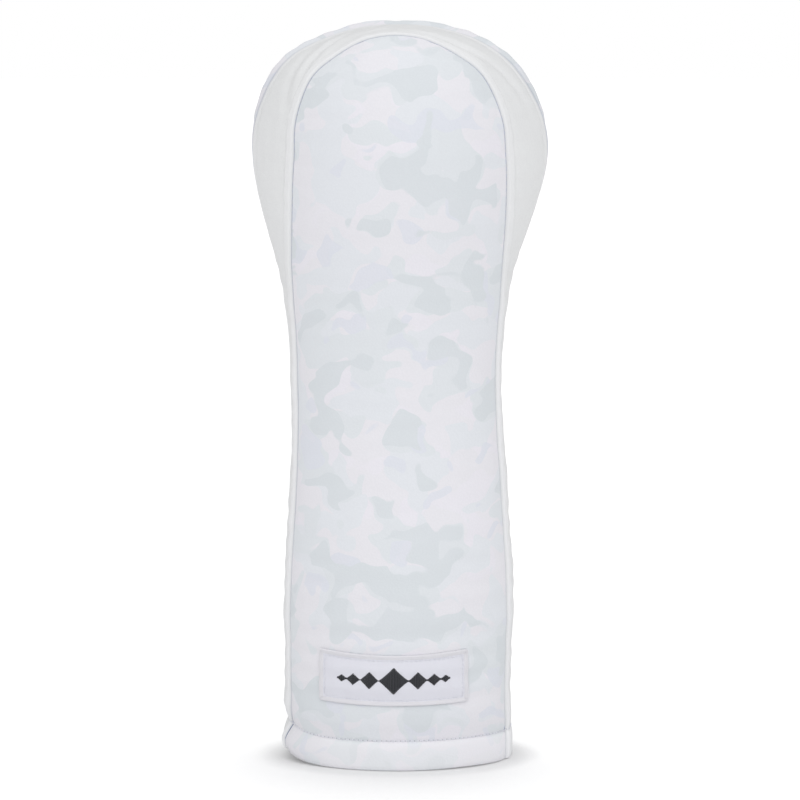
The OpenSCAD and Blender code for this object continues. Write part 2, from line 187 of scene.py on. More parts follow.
def section(level):
    """The station columns at any level, by a Catmull-Rom spline."""
    level = np.asarray(level, float)
    i = np.clip(np.floor(level).astype(int), 0, LAST - 1)
    t = (level - i)[..., None]
    a, b, c, d = EXTENDED[i], EXTENDED[i + 1], EXTENDED[i + 2], EXTENDED[i + 3]
    square = (2 * a - 5 * b + 4 * c - d) * t**2
    return 0.5 * (2 * b + (c - a) * t + square + (3 * b - a - 3 * c + d) * t**3)


def out_dir(points):
    base = np.zeros_like(points)
    base[..., 1] = SPINE_Y
    base[..., 2] = np.minimum(points[..., 2], SPINE_TOP)
    return unit(points - base)


def point(part, level, across, side=1.0):
    """A point of the smooth outer surface. across runs -1..1 over the front (left to right)
    and the back (right to left), and 0..1 over the gusset (front seam to back seam)."""
    level, across = np.broadcast_arrays(np.asarray(level, float), np.asarray(across, float))
    (front_z, front_x, front_y, back_z, back_x, back_y,
     front_mid, back_mid, front_arc, back_arc, bulge) = np.moveaxis(section(level), -1, 0)
    if part == "front":
        arc = np.radians(front_arc)
        turn = arc * across
        x = front_x * np.sin(turn) / np.sin(arc)
        y = front_mid + (front_y - front_mid) * (1 - np.cos(turn)) / (1 - np.cos(arc))
        return np.stack([x, y, front_z], -1)
    if part == "side":
        front = np.stack([front_x, front_y, front_z], -1)
        back = np.stack([back_x, back_y, back_z], -1)
        share = across[..., None]
        bow = out_dir((front + back) / 2) * 4 * share * (1 - share) * bulge[..., None]
        points = front + (back - front) * share + bow
        points[..., 0] *= side
        return points
    arc = np.radians(back_arc)
    turn = arc + (math.pi - arc) * (1 - np.abs(across))
    depth = (back_mid - back_y) / (1 + np.cos(arc))
    x = -np.sign(across) * back_x * np.sin(turn) / np.sin(arc)
    return np.stack([x, back_mid - depth * (1 + np.cos(turn)), back_z], -1)


def true_normal(part, level, across, side=1.0):
    lowest = 0.0 if part == "side" else -1.0
    below, above = np.clip(level - 0.03, 0, LAST), np.clip(level + 0.03, 0, LAST)
    before, after = np.clip(across - 0.006, lowest, 1), np.clip(across + 0.006, lowest, 1)
    up = point(part, above, across, side) - point(part, below, across, side)
    along = point(part, level, after, side) - point(part, level, before, side)
    normal = np.cross(along, up)
    out = out_dir(point(part, level, across, side))
    size = np.linalg.norm(normal, axis=-1, keepdims=True)
    normal = np.where(size > 1e-7, normal / np.maximum(size, 1e-12), out)
    return normal * np.sign((normal * out).sum(-1, keepdims=True) + 1e-12)


# --- Seams ---
def tree_of(points):
    tree = KDTree(len(points))
    for i, place in enumerate(points):
        tree.insert(place, i)
    tree.balance()
    return tree


def nearest(tree, points):
    return np.fromiter((tree.find(place)[1] for place in points), int, len(points))


class Seam:
    """A seam from the right hem over the crown to the left hem, evenly spaced."""

    def __init__(self, across):
        level = np.linspace(0, LAST, 6000)
        right = point("side", level, across)
        both = np.vstack([right, right[-2::-1] * [-1, 1, 1]])
        length = arc_length(both)
        self.arc = np.linspace(0, length[-1], 9000)
        self.points = resample(self.arc, length, both)
        self.level = np.interp(self.arc, length, np.concatenate([level, level[-2::-1]]))
        self.tree = tree_of(self.points)

    def measure(self, points):
        """Distance of each point to the seam, and the seam's arc length at its foot."""
        flat = points.reshape(-1, 3)
        idx = nearest(self.tree, flat)
        foot = self.points[idx]
        ahead = self.points[np.minimum(idx + 1, len(self.points) - 1)]
        tangent = unit(ahead - foot + 1e-12)
        along = ((flat - foot) * tangent).sum(-1)
        gap = np.linalg.norm(flat - foot - along[:, None] * tangent, axis=-1)
        shape = points.shape[:-1]
        return gap.reshape(shape), (self.arc[idx] + along).reshape(shape)


FRONT_SEAM, BACK_SEAM = Seam(0.0), Seam(1.0)

# --- Softness shared by every layer: where real cloth leaves the loft ---
# Tables of (places, millimetres); the places are heights, except CROWN_RISE, where they are x
LEAN = (
    [0, 40, 80, 120, 150, 180, 205, 225, 250, 270, 290, 308, 330],
    [0, 0.1, 0.4, 0.1, -0.4, -0.6, -0.3, -0.5, 0.3, 0.8, 0.3, -0.5, -0.8],
)
HEM_PINCH = [0, 4.5, 8, 12, 15.5, 22, 32], [-0.6, -0.9, -2.0, -3.0, -1.9, -0.4, 0]
HEM_FLARE = [0, 2.5, 5, 7, 9, 12, 15], [1.6, 2.2, 2.3, 1.9, 1.2, 0.3, 0]
SEAM_SWING = [0, 2.5, 5, 7, 9, 12, 16, 20], [1.5, 2.9, 3.8, 3.2, 2.7, 2.1, 0.5, 0]
LEFT_LIFT = [0, 8, 15, 27, 46], [6.6, 6.1, 4.4, 1.7, 0]
RIGHT_LIFT = [0, 8, 20], [0.4, 0.3, 0]
HEAD_WIDEN = [225, 250, 262, 282, 297, 310], [0, 1.1, 1.7, 1.7, 0.7, 0]
DRAW_LEFT = (
    [10, 19, 26, 45, 62, 72, 85, 98, 116, 130, 150, 170, 185, 197, 206, 220, 240],
    [0, -0.2, 0.8, 0.8, 0.9, 1.2, 0.9, 0.4, 0.3, 0.7, 0.5, 0.3, 0.9, 1.3, 0.6, 0.3, 0],
)
DRAW_RIGHT = (
    [0, 16, 26, 45, 71, 85, 98, 116, 130, 150, 161, 180, 197, 206, 220, 235, 250, 262, 275],
    [0.2, 0.5, 0.8, 0.9, 0.9, 0.5, 0.8, 0.8, 0.7, 0.5, 0.8, 0.9, 1.2, 1.2, 0.8, 0.7, 0.7, 0.2, 0],
)
CROWN_RISE = (
    [-60, -45, -36, -27, -18, -9, 0, 9, 18, 27, 36, 45, 60],
    [-0.2, -0.5, -0.9, -0.6, 0, 0.4, 0.55, 0.4, 0.2, 0, 0, -0.5, -0.2],
)
# the gusset lies flat over the crown and is fullest at the sides of the head
GUSSET_FULLNESS = [215, 245, 270, 290, 308, 330], [0, 0.5, 0.4, -0.7, -1.8, -2.5]
# the back panel puffs up over the crown and hides behind the gusset lower down
BACK_PUFF = (
    [215, 240, 275, 292, 302, 312, 322, 330],
    [0, -2.0, -1.9, -0.5, 0.5, 1.15, 1.8, 2.5],
)


def soft_shift(points):
    """Vector displacement of base points."""
    x, y, z = np.moveaxis(points, -1, 0)
    degrees = np.degrees(np.arctan2(y - 2, x))
    flat = unit(np.stack([x, y - 2, np.zeros_like(z)], -1))
    around = np.stack([flat[..., 1], -flat[..., 0], np.zeros_like(z)], -1)

    def near(centre, width):
        return bell((degrees - centre + 180) % 360 - 180, 0, width)

    # the left hem is nipped in at its topstitching and kicks out below it
    pinch = np.interp(z, *HEM_PINCH) * near(-172, 25.0)
    flare = np.interp(z, *HEM_FLARE) * near(-155, 17.0)
    out = flat * (pinch + flare)[..., None]
    # the front seam's left hem end swings round towards the side
    out = out + around * (table(z, SEAM_SWING, 2) * near(-159, 15.0))[..., None]
    # and the left hem stands clear of the table
    out[..., 2] += table(z, LEFT_LIFT, 2) * near(-178, 24.0)
    out[..., 2] += table(z, RIGHT_LIFT, 2) * bell(degrees, -48, 22.0)
    # a soft tuck across both gussets above the label
    from_left = np.abs((degrees + 360) % 360 - 180)
    sides = bell(from_left, 180, 30.0) + bell(from_left, 0, 30.0)
    tuck = 0.35 * plateau(z, 58, 64, 66, 110) - 0.45 * plateau(z, 16, 30, 54, 62)
    out = out + flat * (tuck * np.clip(sides, 0, 1))[..., None]
    # the head is at its widest right at the back seams
    side = np.sign(x)
    from_side = np.degrees(np.arctan2(y - 2, np.abs(x)))
    out[..., 0] += side * table(z, HEAD_WIDEN) * bell(from_side, 3, 19.0)
    # the sides draw in a little along the neck and skirt
    draw = np.where(side < 0, table(z, DRAW_LEFT), table(z, DRAW_RIGHT))
    out[..., 0] -= side * draw * smooth(y, -23, -6) * smooth(np.abs(x), 10, 36)
    # the back seam sits a little inside the crown's outline
    up = np.stack([x, np.zeros_like(z), z - 262.0], -1)
    inset = 0.8 * smooth(z, 272, 298) * smooth(y, -7, 4) * smooth(np.abs(x), 8, 30)
    out = out - unit(up + 1e-9) * inset[..., None]
    # the crown is higher in the middle and softer on the left shoulder
    out[..., 2] += table(x, CROWN_RISE) * smooth(z, 292, 324)
    out[..., 0] += table(z, LEAN)
    return out


def soft_out(points):
    """Outward displacement of base points: slow unevenness of foam and cloth."""
    rough = 0.55 * noise3(points / 62.0, 11) + 0.22 * noise3(points / 27.0, 12)
    rough = rough + 0.07 * noise3(points / 12.0, 13)
    x, y, z = np.moveaxis(points, -1, 0)
    angle = np.arctan2(y - 2, x)
    # faint upright gathers where the elastic draws the neck in
    ring = np.stack([np.cos(angle) * 6.5, np.sin(angle) * 6.5, z / 60.0], -1)
    rough = rough + 0.32 * bell(z, 163, 26.0) * noise3(ring, 21)
    # the hem's edge stays flat on the table
    return rough * smooth(z, -2, 14)


# --- Cloth simulation: how the sewn panels fill and pull between their seams ---
SIM_SCALE = 0.01  # ten times life size, where the solver is well behaved
SIM_ROW, SIM_FRAMES = 4.6, 28
SIM_COLUMNS = {"front": 27, "back": 37, "side": 10}
SIM_SHEETS = (
    ("front", "front", 1), ("right", "side", 1), ("left", "side", -1), ("back", "back", 1),
)
# Solver settings, in the order they are set: the shrink limits depend on each other
CLOTH = {
    "quality": 5, "mass": 0.3,
    "compression_stiffness": 18.0, "tension_stiffness": 18.0, "shear_stiffness": 6.0,
    "bending_stiffness": 16.0, "bending_damping": 3.0,
    "compression_damping": 10.0, "tension_damping": 10.0, "air_damping": 4.0,
    "vertex_group_mass": "sewn", "pin_stiffness": 1.0,
    "use_pressure": True, "uniform_pressure_force": 20.0,
    "vertex_group_shrink": "slack", "shrink_min": 0.0, "shrink_max": -0.028,
}


def spline4(t):
    weights = [(1 - t) ** 3, 3 * t**3 - 6 * t**2 + 4, -3 * t**3 + 3 * t**2 + 3 * t + 1, t**3]
    return np.stack(weights, -1) / 6.0


def sample_grid(grid, row, col):
    """Uniform cubic B-spline reading of a grid at fractional rows and columns."""
    row = np.clip(row, 0, grid.shape[0] - 1)
    col = np.clip(col, 0, grid.shape[1] - 1)
    i, j = np.floor(row).astype(int), np.floor(col).astype(int)
    row_weight, col_weight = spline4(row - i), spline4(col - j)
    total = 0
    for a, b in itertools.product(range(4), repeat=2):
        near_row = np.clip(i + a - 1, 0, grid.shape[0] - 1)
        near_col = np.clip(j + b - 1, 0, grid.shape[1] - 1)
        total = total + row_weight[..., a] * col_weight[..., b] * grid[near_row, near_col]
    return total


def levels_along(across, top=float(LAST)):
    """Fine levels up the gusset, and the arc length at each."""
    level = np.linspace(0, top, 4000)
    return level, arc_length(point("side", level, across))


def skin_geometry(levels):
    """One closed skin of all panels: its vertices, faces, pins and the grid of each panel."""
    grids, verts, faces, pins, index = {}, [], [], [], {}

    def vert(place, pin):
        key = tuple(np.round(place, 2))
        if key not in index:
            index[key] = len(verts)
            verts.append(tuple(place * SIM_SCALE))
            pins.append(0.0)
        pins[index[key]] = max(pins[index[key]], pin)
        return index[key]

    for name, part, side in SIM_SHEETS:
        gusset = part == "side"
        cols = SIM_COLUMNS[part]
        across = np.linspace(0 if gusset else -1, 1, cols)
        level, across = np.meshgrid(levels, across, indexing="ij")
        points = point(part, np.minimum(level, LAST - (0 if gusset else 1e-6)), across, side)
        ids = np.empty(level.shape, int)
        for i, j in np.ndindex(ids.shape):
            pole = not gusset and i == len(levels) - 1
            sewn = j in (0, cols - 1) or points[i, j, 2] < STITCH_Z + 1.0 or pole
            ids[i, j] = vert(points[i, j], 1.0 if sewn else 0.0)
        for i, j in np.ndindex(len(levels) - 1, cols - 1):
            face = (ids[i, j], ids[i, j + 1], ids[i + 1, j + 1], ids[i + 1, j])
            face = tuple(dict.fromkeys(face[::-1] if side < 0 else face))
            if len(face) > 2:
                faces.append(face)
        out = unit(out_dir(points) + 2 * true_normal(part, level, across, side))
        grids[name] = (ids, out)
    return verts, faces, pins, grids


def run_cloth(verts, faces, pins):
    """Fills the skin by light pressure and returns each vertex's move in millimetres."""
    mesh = bpy.data.meshes.new("cloth_skin")
    mesh.from_pydata(verts, [], faces)
    mesh.update()
    skin = bpy.data.objects.new("cloth_skin", mesh)
    scene = bpy.context.scene
    scene.collection.objects.link(skin)
    sewn = skin.vertex_groups.new(name="sewn")
    for k, weight in enumerate(pins):
        if weight > 0:
            sewn.add([k], weight, "REPLACE")
    # slack differs over the skin and is greatest at the shoulders of the gusset
    slack_group = skin.vertex_groups.new(name="slack")
    rest = np.array(verts) / SIM_SCALE
    slack = np.clip(0.5 + 0.9 * noise3(rest / 26.0, 301), 0.05, 1)
    slack[(np.abs(rest[:, 0]) > 44) & (rest[:, 2] > 190)] = 1.0
    for k, weight in enumerate(slack):
        slack_group.add([k], float(weight), "REPLACE")
    cloth = skin.modifiers.new("cloth", "CLOTH")
    for key, value in CLOTH.items():
        setattr(cloth.settings, key, value)
    cloth.settings.effector_weights.gravity = 0.0
    cloth.collision_settings.use_collision = False
    cloth.collision_settings.use_self_collision = False
    cloth.point_cache.frame_start, cloth.point_cache.frame_end = 1, SIM_FRAMES
    for frame in range(1, SIM_FRAMES + 1):
        scene.frame_set(frame)
    result = skin.evaluated_get(bpy.context.evaluated_depsgraph_get()).to_mesh()
    moved = np.empty(len(verts) * 3, np.float32)
    result.vertices.foreach_get("co", moved)
    move = moved.reshape(-1, 3) / SIM_SCALE - rest
    scene.frame_set(1)
    bpy.data.objects.remove(skin)
    return move


def simulate():
    """Levels of the simulated rows, and the outward lift over each panel."""
    level, arc = levels_along(0.5)
    rows = int(round(arc[-1] / SIM_ROW))
    levels = np.interp(np.linspace(0, arc[-1], rows + 1), arc, level)
    verts, faces, pins, grids = skin_geometry(levels)
    move = run_cloth(verts, faces, pins)
    lifts = {}
    for name, (ids, out) in grids.items():
        lift = np.nan_to_num((move[ids] * out).sum(-1))
        low = lift
        for _ in range(14):
            pad = np.pad(low, 1, mode="edge")
            middle = pad[1:-1, 1:-1] * 4 + pad[:-2, 1:-1] + pad[2:, 1:-1]
            low = (middle + pad[1:-1, :-2] + pad[1:-1, 2:]) / 8
        # broad swelling is held back, small creases are kept
        lifts[name] = np.clip(0.20 * low, -0.7, 0.7) + np.clip(1.15 * (lift - low), -0.7, 0.7)
    return levels, lifts


SIM_LEVELS, SIM_LIFT = simulate()


def sim_out(part, level, across, side=1.0):
    """Simulated outward displacement, zero at seams, poles and the sewn hem."""
    level, across, side = np.broadcast_arrays(
        np.asarray(level, float), np.asarray(across, float), np.asarray(side, float)
    )
    row = np.interp(level, SIM_LEVELS, np.arange(len(SIM_LEVELS)))
    last_col = SIM_COLUMNS[part] - 1
    if part == "side":
        right, left = (sample_grid(SIM_LIFT[k], row, across * last_col) for k in ("right", "left"))
        lift = np.where(side > 0, right, left)
        edge = smooth(np.minimum(across, 1 - across), 0, 0.12)
    else:
        lift = sample_grid(SIM_LIFT[part], row, (across + 1) / 2 * last_col)
        edge = smooth(1 - np.abs(across), 0, 0.07) * smooth(LAST - level, 0.05, 0.9)
    return lift * edge * smooth(level * STEP, STITCH_Z + 1.2, STITCH_Z + 9)


# --- Grids over the surface, and the meshes made from them ---
def columns(part, level, side, near, middle):
    """Places across one row, close together near both seams."""
    fine = np.linspace(0, 1, 241) if part == "side" else np.linspace(-1, 1, 481)
    arc = arc_length(point(part, level, fine, side))
    length = arc[-1]
    edge = np.asarray(near) * min(1.0, length / (2.6 * near[-1]))
    inside = np.linspace(edge[-1], length - edge[-1], middle + 2)[1:-1]
    along = np.concatenate([edge, inside, length - edge[::-1]])
    return np.interp(along, arc, fine), along, length


def rows_for(part, heights, spacing, top=float(LAST)):
    """Levels: the given heights at the hem, then evenly along the seam to the top."""
    level, arc = levels_along({"front": 0.0, "back": 1.0, "side": 0.5}[part], top)
    start = np.interp(heights[-1] / STEP, level, arc)
    count = int(round((arc[-1] - start) / spacing))
    rest = np.interp(np.linspace(start, arc[-1], count + 1)[1:], arc, level)
    return np.concatenate([np.asarray(heights) / STEP, rest])


class Grid:
    """Positions, normals and seam distances of a grid over one part of the surface.
    The gusset's grid runs up the right side and down the left."""

    def __init__(self, part, levels, near, middle):
        self.part = part
        gusset = part == "side"
        rows = [(level, 1.0) for level in levels]
        if gusset:
            rows += [(level, -1.0) for level in levels[-2::-1]]
        places, arcs = [], []
        for level, side in rows:
            inside = level if gusset else min(level, LAST - 1e-4)
            across, along, length = columns(part, inside, side, near, middle)
            places.append(across)
            arcs.append(along - (0 if gusset else length / 2))
        across = np.array(places)
        self.arc = np.array(arcs)
        level, side = (np.array(rows)[:, k, None] + np.zeros_like(across) for k in (0, 1))
        self.points = point(part, level, across, side)
        self.z = self.points[..., 2]
        self.to_front, self.along_front = FRONT_SEAM.measure(self.points)
        self.to_back, self.along_back = BACK_SEAM.measure(self.points)
        self.to_seam = np.minimum(self.to_front, self.to_back)
        weight = smooth(self.to_seam, 0.6, 8.0)[..., None]
        normal = true_normal(part, level, across, side)
        self.normals = unit(out_dir(self.points) * (1 - weight) + normal * weight)
        self.shift = soft_shift(self.points)
        self.soft = soft_out(self.points) + sim_out(part, level, across, side)
        if gusset:
            self.soft += table(self.z, GUSSET_FULLNESS) * 4 * across * (1 - across)
        elif part == "back":
            self.soft += table(self.z, BACK_PUFF, 6.0) * plateau(self.to_back, 0.0, 6.5, 22, 52)
        # length along the cloth from the hem, for the print
        middle_line = self.points[:, self.points.shape[1] // 2]
        self.rise = arc_length(middle_line)[:, None] + np.zeros_like(across)

    def at(self, offset):
        return self.points + self.shift + self.normals * (self.soft + offset)[..., None]

    def uv(self):
        return np.stack([self.arc, self.rise], -1)


def smooth_mesh(name, verts, faces, uv, attributes=None, hem_uv=None):
    mesh = bpy.data.meshes.new(name)
    mesh.from_pydata((np.asarray(verts) * MM).tolist(), [], faces)
    mesh.validate(clean_customdata=False)
    corners = np.empty(len(mesh.loops), np.int32)
    mesh.loops.foreach_get("vertex_index", corners)
    for layer, coords in (("cloth", uv), ("hem", hem_uv)):
        if coords is not None:
            values = np.asarray(coords, np.float32)[corners].ravel()
            mesh.uv_layers.new(name=layer).data.foreach_set("uv", values)
    for key, values in (attributes or {}).items():
        attribute = mesh.attributes.new(key, "FLOAT", "POINT")
        attribute.data.foreach_set("value", np.asarray(values, np.float32).ravel())
    mesh.polygons.foreach_set("use_smooth", [True] * len(mesh.polygons))
    mesh.update()
    ob = bpy.data.objects.new(name, mesh)
    bpy.context.scene.collection.objects.link(ob)
    return ob


def sheet(name, top, bottom, uv, pole=False, ring=False, attributes=None, hem_uv=None):
    """One closed sheet between two grids of points. A pole draws the last row into one
    point; a ring joins the last column to the first. Other values come as (top, bottom)."""
    rows, cols = top.shape[:2]
    base = (rows - 1) * cols + (1 if pole else cols)

    def flat(pair):
        if pole:
            halves = [
                part
                for grid in pair
                for part in (
                    grid[:-1].reshape((-1,) + grid.shape[2:]), grid[rows - 1 : rows, cols // 2]
                )
            ]
        else:
            halves = [grid.reshape((-1,) + grid.shape[2:]) for grid in pair]
        return np.concatenate(halves)

    def vid(layer, i, j):
        if pole and i == rows - 1:
            return layer * base + (rows - 1) * cols
        return layer * base + i * cols + (j % cols)

    faces = []
    end = rows - 1
    spans = range(cols if ring else cols - 1)
    for i in range(end):
        for j in spans:
            corners = ((i, j), (i, j + 1), (i + 1, j + 1), (i + 1, j))
            a, b, c, d = (vid(0, *corner) for corner in corners)
            e, f, g, h = (vid(1, *corner) for corner in corners)
            if pole and i == rows - 2:
                faces += [(a, b, c), (e, g, f)]
            else:
                faces += [(a, b, c, d), (e, h, g, f)]
    for j in spans:
        faces.append((vid(0, 0, j), vid(1, 0, j), vid(1, 0, j + 1), vid(0, 0, j + 1)))
        if not pole:
            faces.append((vid(0, end, j), vid(0, end, j + 1), vid(1, end, j + 1), vid(1, end, j)))
    if not ring:
        j = cols - 1
        for i in range(end):
            faces.append((vid(0, i, 0), vid(0, i + 1, 0), vid(1, i + 1, 0), vid(1, i, 0)))
            faces.append((vid(0, i, j), vid(1, i, j), vid(1, i + 1, j), vid(0, i + 1, j)))
    faces = [tuple(dict.fromkeys(face)) for face in faces]
    faces = [face for face in faces if len(face) > 2]
    values = {key: flat(pair) for key, pair in (attributes or {}).items()}
    hem = flat(hem_uv) if hem_uv else None
    return smooth_mesh(name, flat((top, bottom)), faces, flat((uv, uv)), values, hem)


def add(ob, node, material):
    ob.data.materials.append(material)
    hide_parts(node)
    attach(ob, "root")


# --- The hem's topstitching line ---
def ring_at(z, count=6000):
    """The outline at height z, once round from the front middle: points, normals,
    arc length and soft displacement."""
    points, normals, lifts = [], [], []
    for part, start, end, number, side in (
        ("front", 0, 1, 900, 1.0),
        ("side", 0, 1, 600, 1.0),
        ("back", -1, 1, 2000, 1.0),
        ("side", 1, 0, 600, -1.0),
        ("front", -1, 0, 900, 1.0),
    ):
        across = np.linspace(start, end, number)
        level = np.full_like(across, z / STEP)
        points.append(point(part, level, across, side))
        normals.append(true_normal(part, level, across, side))
        lifts.append(sim_out(part, level, across, side))
    points, normals, lifts = np.vstack(points), np.vstack(normals), np.concatenate(lifts)
    keep = np.concatenate([[True], np.linalg.norm(np.diff(points, axis=0), axis=1) > 1e-6])
    points, normals, lifts = points[keep], normals[keep], lifts[keep]
    arc = arc_length(points)
    along = np.linspace(0, arc[-1], count)
    points = resample(along, arc, points)
    normals = unit(resample(along, arc, normals))
    for _ in range(6):
        normals = unit(np.roll(normals, 4, 0) + normals + np.roll(normals, -4, 0))
    return points, normals, along, soft_out(points) + np.interp(along, arc, lifts)


HEM_POINTS, HEM_NORMALS, HEM_ARC, HEM_SOFT = ring_at(STITCH_Z)
HEM_PITCH = HEM_ARC[-1] / int(round(HEM_ARC[-1] / STITCH_PITCH))
HEM_TREE = tree_of(HEM_POINTS)


def hem_length(points):
    """Arc length round the stitch line at each point, continuous over the front middle."""
    flat = points.reshape(-1, 3)
    level = flat.copy()
    level[:, 2] = STITCH_Z
    idx = nearest(HEM_TREE, level)
    tangent = unit(HEM_POINTS[(idx + 1) % len(HEM_POINTS)] - HEM_POINTS[idx - 1] + 1e-12)
    along = HEM_ARC[idx] + ((level - HEM_POINTS[idx]) * tangent).sum(-1)
    wraps = (flat[:, 1] < 0) & (flat[:, 0] < 30) & (along > HEM_ARC[-1] / 2)
    return np.where(wraps, along - HEM_ARC[-1], along).reshape(points.shape[:-1])


def hem_features(grid):
    """Groove, needle pulls and puckers of the topstitching, and its count of stitches."""
    relief, turn = np.zeros_like(grid.z), np.zeros_like(grid.z)
    rows = grid.z[:, grid.z.shape[1] // 2] < 40
    along = hem_length(grid.points[rows])
    z = grid.z[rows]
    line = bell(z, STITCH_Z, 0.85)
    pull = 0.5 + 0.5 * noise1(along / 11.0, 31)
    low = -0.30 * bell(z, STITCH_Z, 2.6) * (0.55 + 0.6 * pull) - line * 0.20
    # short drag lines above and below the stitching
    drag = noise1(along / 3.1, 32) * 0.6 + noise1(along / 6.7, 33)
    low += 0.14 * drag * np.exp(-np.abs(z - STITCH_Z) / 3.2) * (1 - 0.6 * line)
    # the doubled hem stands out a little below the line
    low += 0.28 * plateau(z, 0, 2.0, STITCH_Z - 1.6, STITCH_Z - 0.3)
    low += 0.22 * noise1(along / 17.0, 34) * (1 - smooth(z, 4, STITCH_Z))
    relief[rows] = low
    turn[rows] = along / HEM_PITCH
    return relief, turn


# --- Relief of the outer shell ---
# Soft folds of the gusset: side, then level and millimetres from the front seam at both
# ends, then depth and width
FOLDS = (
    (-1, 11.9, 7.0, 13.5, 21.0, 1.0, 2.4),
    (-1, 11.1, 9.0, 12.5, 23.0, 0.5, 3.0),
    (1, 14.6, 9.0, 12.3, 11.5, 0.8, 2.6),
    (1, 13.0, 12.0, 11.4, 22.0, 0.7, 2.6),
    (-1, 13.9, 10.0, 14.8, 14.0, 0.5, 2.6),
    (1, 7.2, 7.0, 6.2, 20.0, 0.35, 3.4),
    (-1, 6.4, 8.0, 7.6, 21.0, 0.35, 3.4),
)
# Strength of the front seam's painted groove shade by height
GROOVE_LEFT = (
    [12, 35, 53, 71, 107, 125, 150, 165, 179, 197, 215, 250, 268, 286],
    [1.1, 0.85, 0.8, 0.95, 1.05, 1.15, 1.3, 1.3, 1.05, 0.95, 0.8, 0.75, 0.8, 1.0],
)
GROOVE_RIGHT = [12, 30, 270, 292], [1.0, 0.62, 0.62, 1.0]


def seam_roll(gap, depth, width):
    return -depth * np.clip(1 - gap / width, 0, 1) ** 2


def hem_fold(z, full):
    """How far the folded edge turns under: 0 above the height full, full at the very edge."""
    share = np.clip(1 - z / full, 0, 1)
    return full * (1 - np.sqrt(np.clip(1 - share * share, 0, 1)))


def label_growth(along):
    return 1 + LABEL_SPREAD * (2 * along / LABEL_W) ** 2


def label_z(along, up):
    """Height of a label point: the strip hangs in a slow curve, a little taller at its ends."""
    end = (2 * along / LABEL_W) ** 2
    return LABEL_END_Z + up * label_growth(along) - LABEL_SAG * (1 - end)


def fold_line(grid, side, level0, gap0, level1, gap1, depth, width):
    """A valley with rounded lips beside it, from one point of the gusset to another."""
    half = len(FRONT_SEAM.arc) // 2
    start, end = (
        np.interp(level, FRONT_SEAM.level[:half], FRONT_SEAM.arc[:half])
        for level in (level0, level1)
    )
    if side < 0:
        start, end = FRONT_SEAM.arc[-1] - start, FRONT_SEAM.arc[-1] - end
    start, end = np.array([start, gap0]), np.array([end, gap1])
    places = np.stack([grid.along_front, grid.to_front], -1) - start
    line = end - start
    share = (places * line).sum(-1) / (line @ line)
    across = places @ np.array([-line[1], line[0]]) / np.linalg.norm(line)
    along = plateau(share, -0.35, 0.25, 0.75, 1.35)
    lips = 0.55 * bell(across, 1.9 * width, 1.3 * width)
    lips = lips + 0.35 * bell(across, -1.9 * width, 1.5 * width)
    return depth * along * (lips - bell(across, 0, width)) * smooth(grid.to_seam, 1.5, 6.0)


def front_groove(grid):
    """Painted shade in the front seam's groove: darker down the left side and where the hem kicks out.
    """
    left = table(grid.z, GROOVE_LEFT, 6) + 3.4 * bell(grid.z, 9.0, 6.0)
    strength = np.where(grid.points[..., 0] < 0, left, table(grid.z, GROOVE_RIGHT, 6))
    return bell(grid.to_front, 0, 0.25) * strength


def back_groove(grid, width, crown_extra):
    return bell(grid.to_back, 0, width + crown_extra * bell(grid.z, 303.0, 17.0))


def panel_relief(grid):
    """Relief, painted groove shade and painted ridge highlight of the front or back panel, whose ridge
    highlight is zero.
    """
    if grid.part == "front":
        gap, along, dark = grid.to_front, grid.along_front, front_groove(grid)
    else:
        gap, along, dark = grid.to_back, grid.along_back, back_groove(grid, 0.8, 0.5)
    relief = seam_roll(gap, 0.85, 1.0) - 0.26 * bell(gap, 0, 4.2)
    # drag lines that leave the seam
    pull = noise1(along / 4.3, 41) * 0.7 + noise1(along / 9.0, 42)
    relief += 0.10 * pull * np.exp(-gap / 4.5) * smooth(gap, 0.2, 1.6)
    if grid.part == "front":
        # the dent and puckers the label's sewing makes
        across = grid.points[..., 0] - LABEL_X
        up = (grid.z - label_z(across, 0.0)) / label_growth(across)
        edge = np.maximum(np.abs(across) - LABEL_W / 2, np.abs(up) - LABEL_H / 2)
        relief -= 0.16 * bell(np.maximum(edge, -3), 0, 2.8)
        pucker = noise1(np.arctan2(up * 2.2, across) * 9.0, 71)
        relief += 0.07 * bell(np.maximum(edge, 0), 0, 4.0) * pucker * smooth(edge, -2, 0.6)
    return relief, dark, np.zeros_like(relief)


def gusset_relief(grid):
    """Relief, painted groove shade and painted ridge highlight of the gusset."""
    relief, pale = np.zeros_like(grid.z), np.zeros_like(grid.z)
    # padded ridges beside the seams: height, width, seed, strength of the painted highlight
    for gap, along, high, width, seed, painted_highlight in (
        (grid.to_front, grid.along_front, 0.78, 4.6, 51, 1.0),
        (grid.to_back, grid.along_back, 0.24, 3.8, 55, 0.6),
    ):
        end = width + 0.25 * noise1(along / 21.0, seed)
        ridge = high * plateau(gap, 0.2, 1.4, end - 0.5, end + 0.7)
        ridge -= 0.16 * bell(gap, end + 0.9, 0.8)
        ridge *= 1 + 0.16 * noise1(along / 3.6, seed + 1) + 0.10 * noise1(along / 9.5, seed + 2)
        relief += ridge + seam_roll(gap, 0.85, 0.9)
        # painted highlight on the ridges, weaker over the head
        fade = 1 - 0.6 * smooth(grid.z, 190, 225)
        pale = np.maximum(pale, painted_highlight * fade * plateau(gap, 0.3, 1.3, end - 0.9, end + 0.6))
        relief += 0.11 * noise1(along / 5.2, seed + 3) * bell(gap, end, 5.0)
    for fold in FOLDS:
        relief += fold_line(grid, *fold)
    # broad unevenness down the middle, strongest on the shoulders of the crown
    along = grid.along_front
    middle = bell(grid.to_front, grid.to_back, 34.0)
    waves = noise1(along / 14.0 + 0.5 * grid.to_front / 14.0, 61)
    relief += 0.34 * smooth(grid.z, 200, 285) * middle * waves
    relief += 0.16 * middle * noise1(along / 23.0, 62)
    return relief, np.maximum(front_groove(grid), back_groove(grid, 0.9, 1.0)), pale


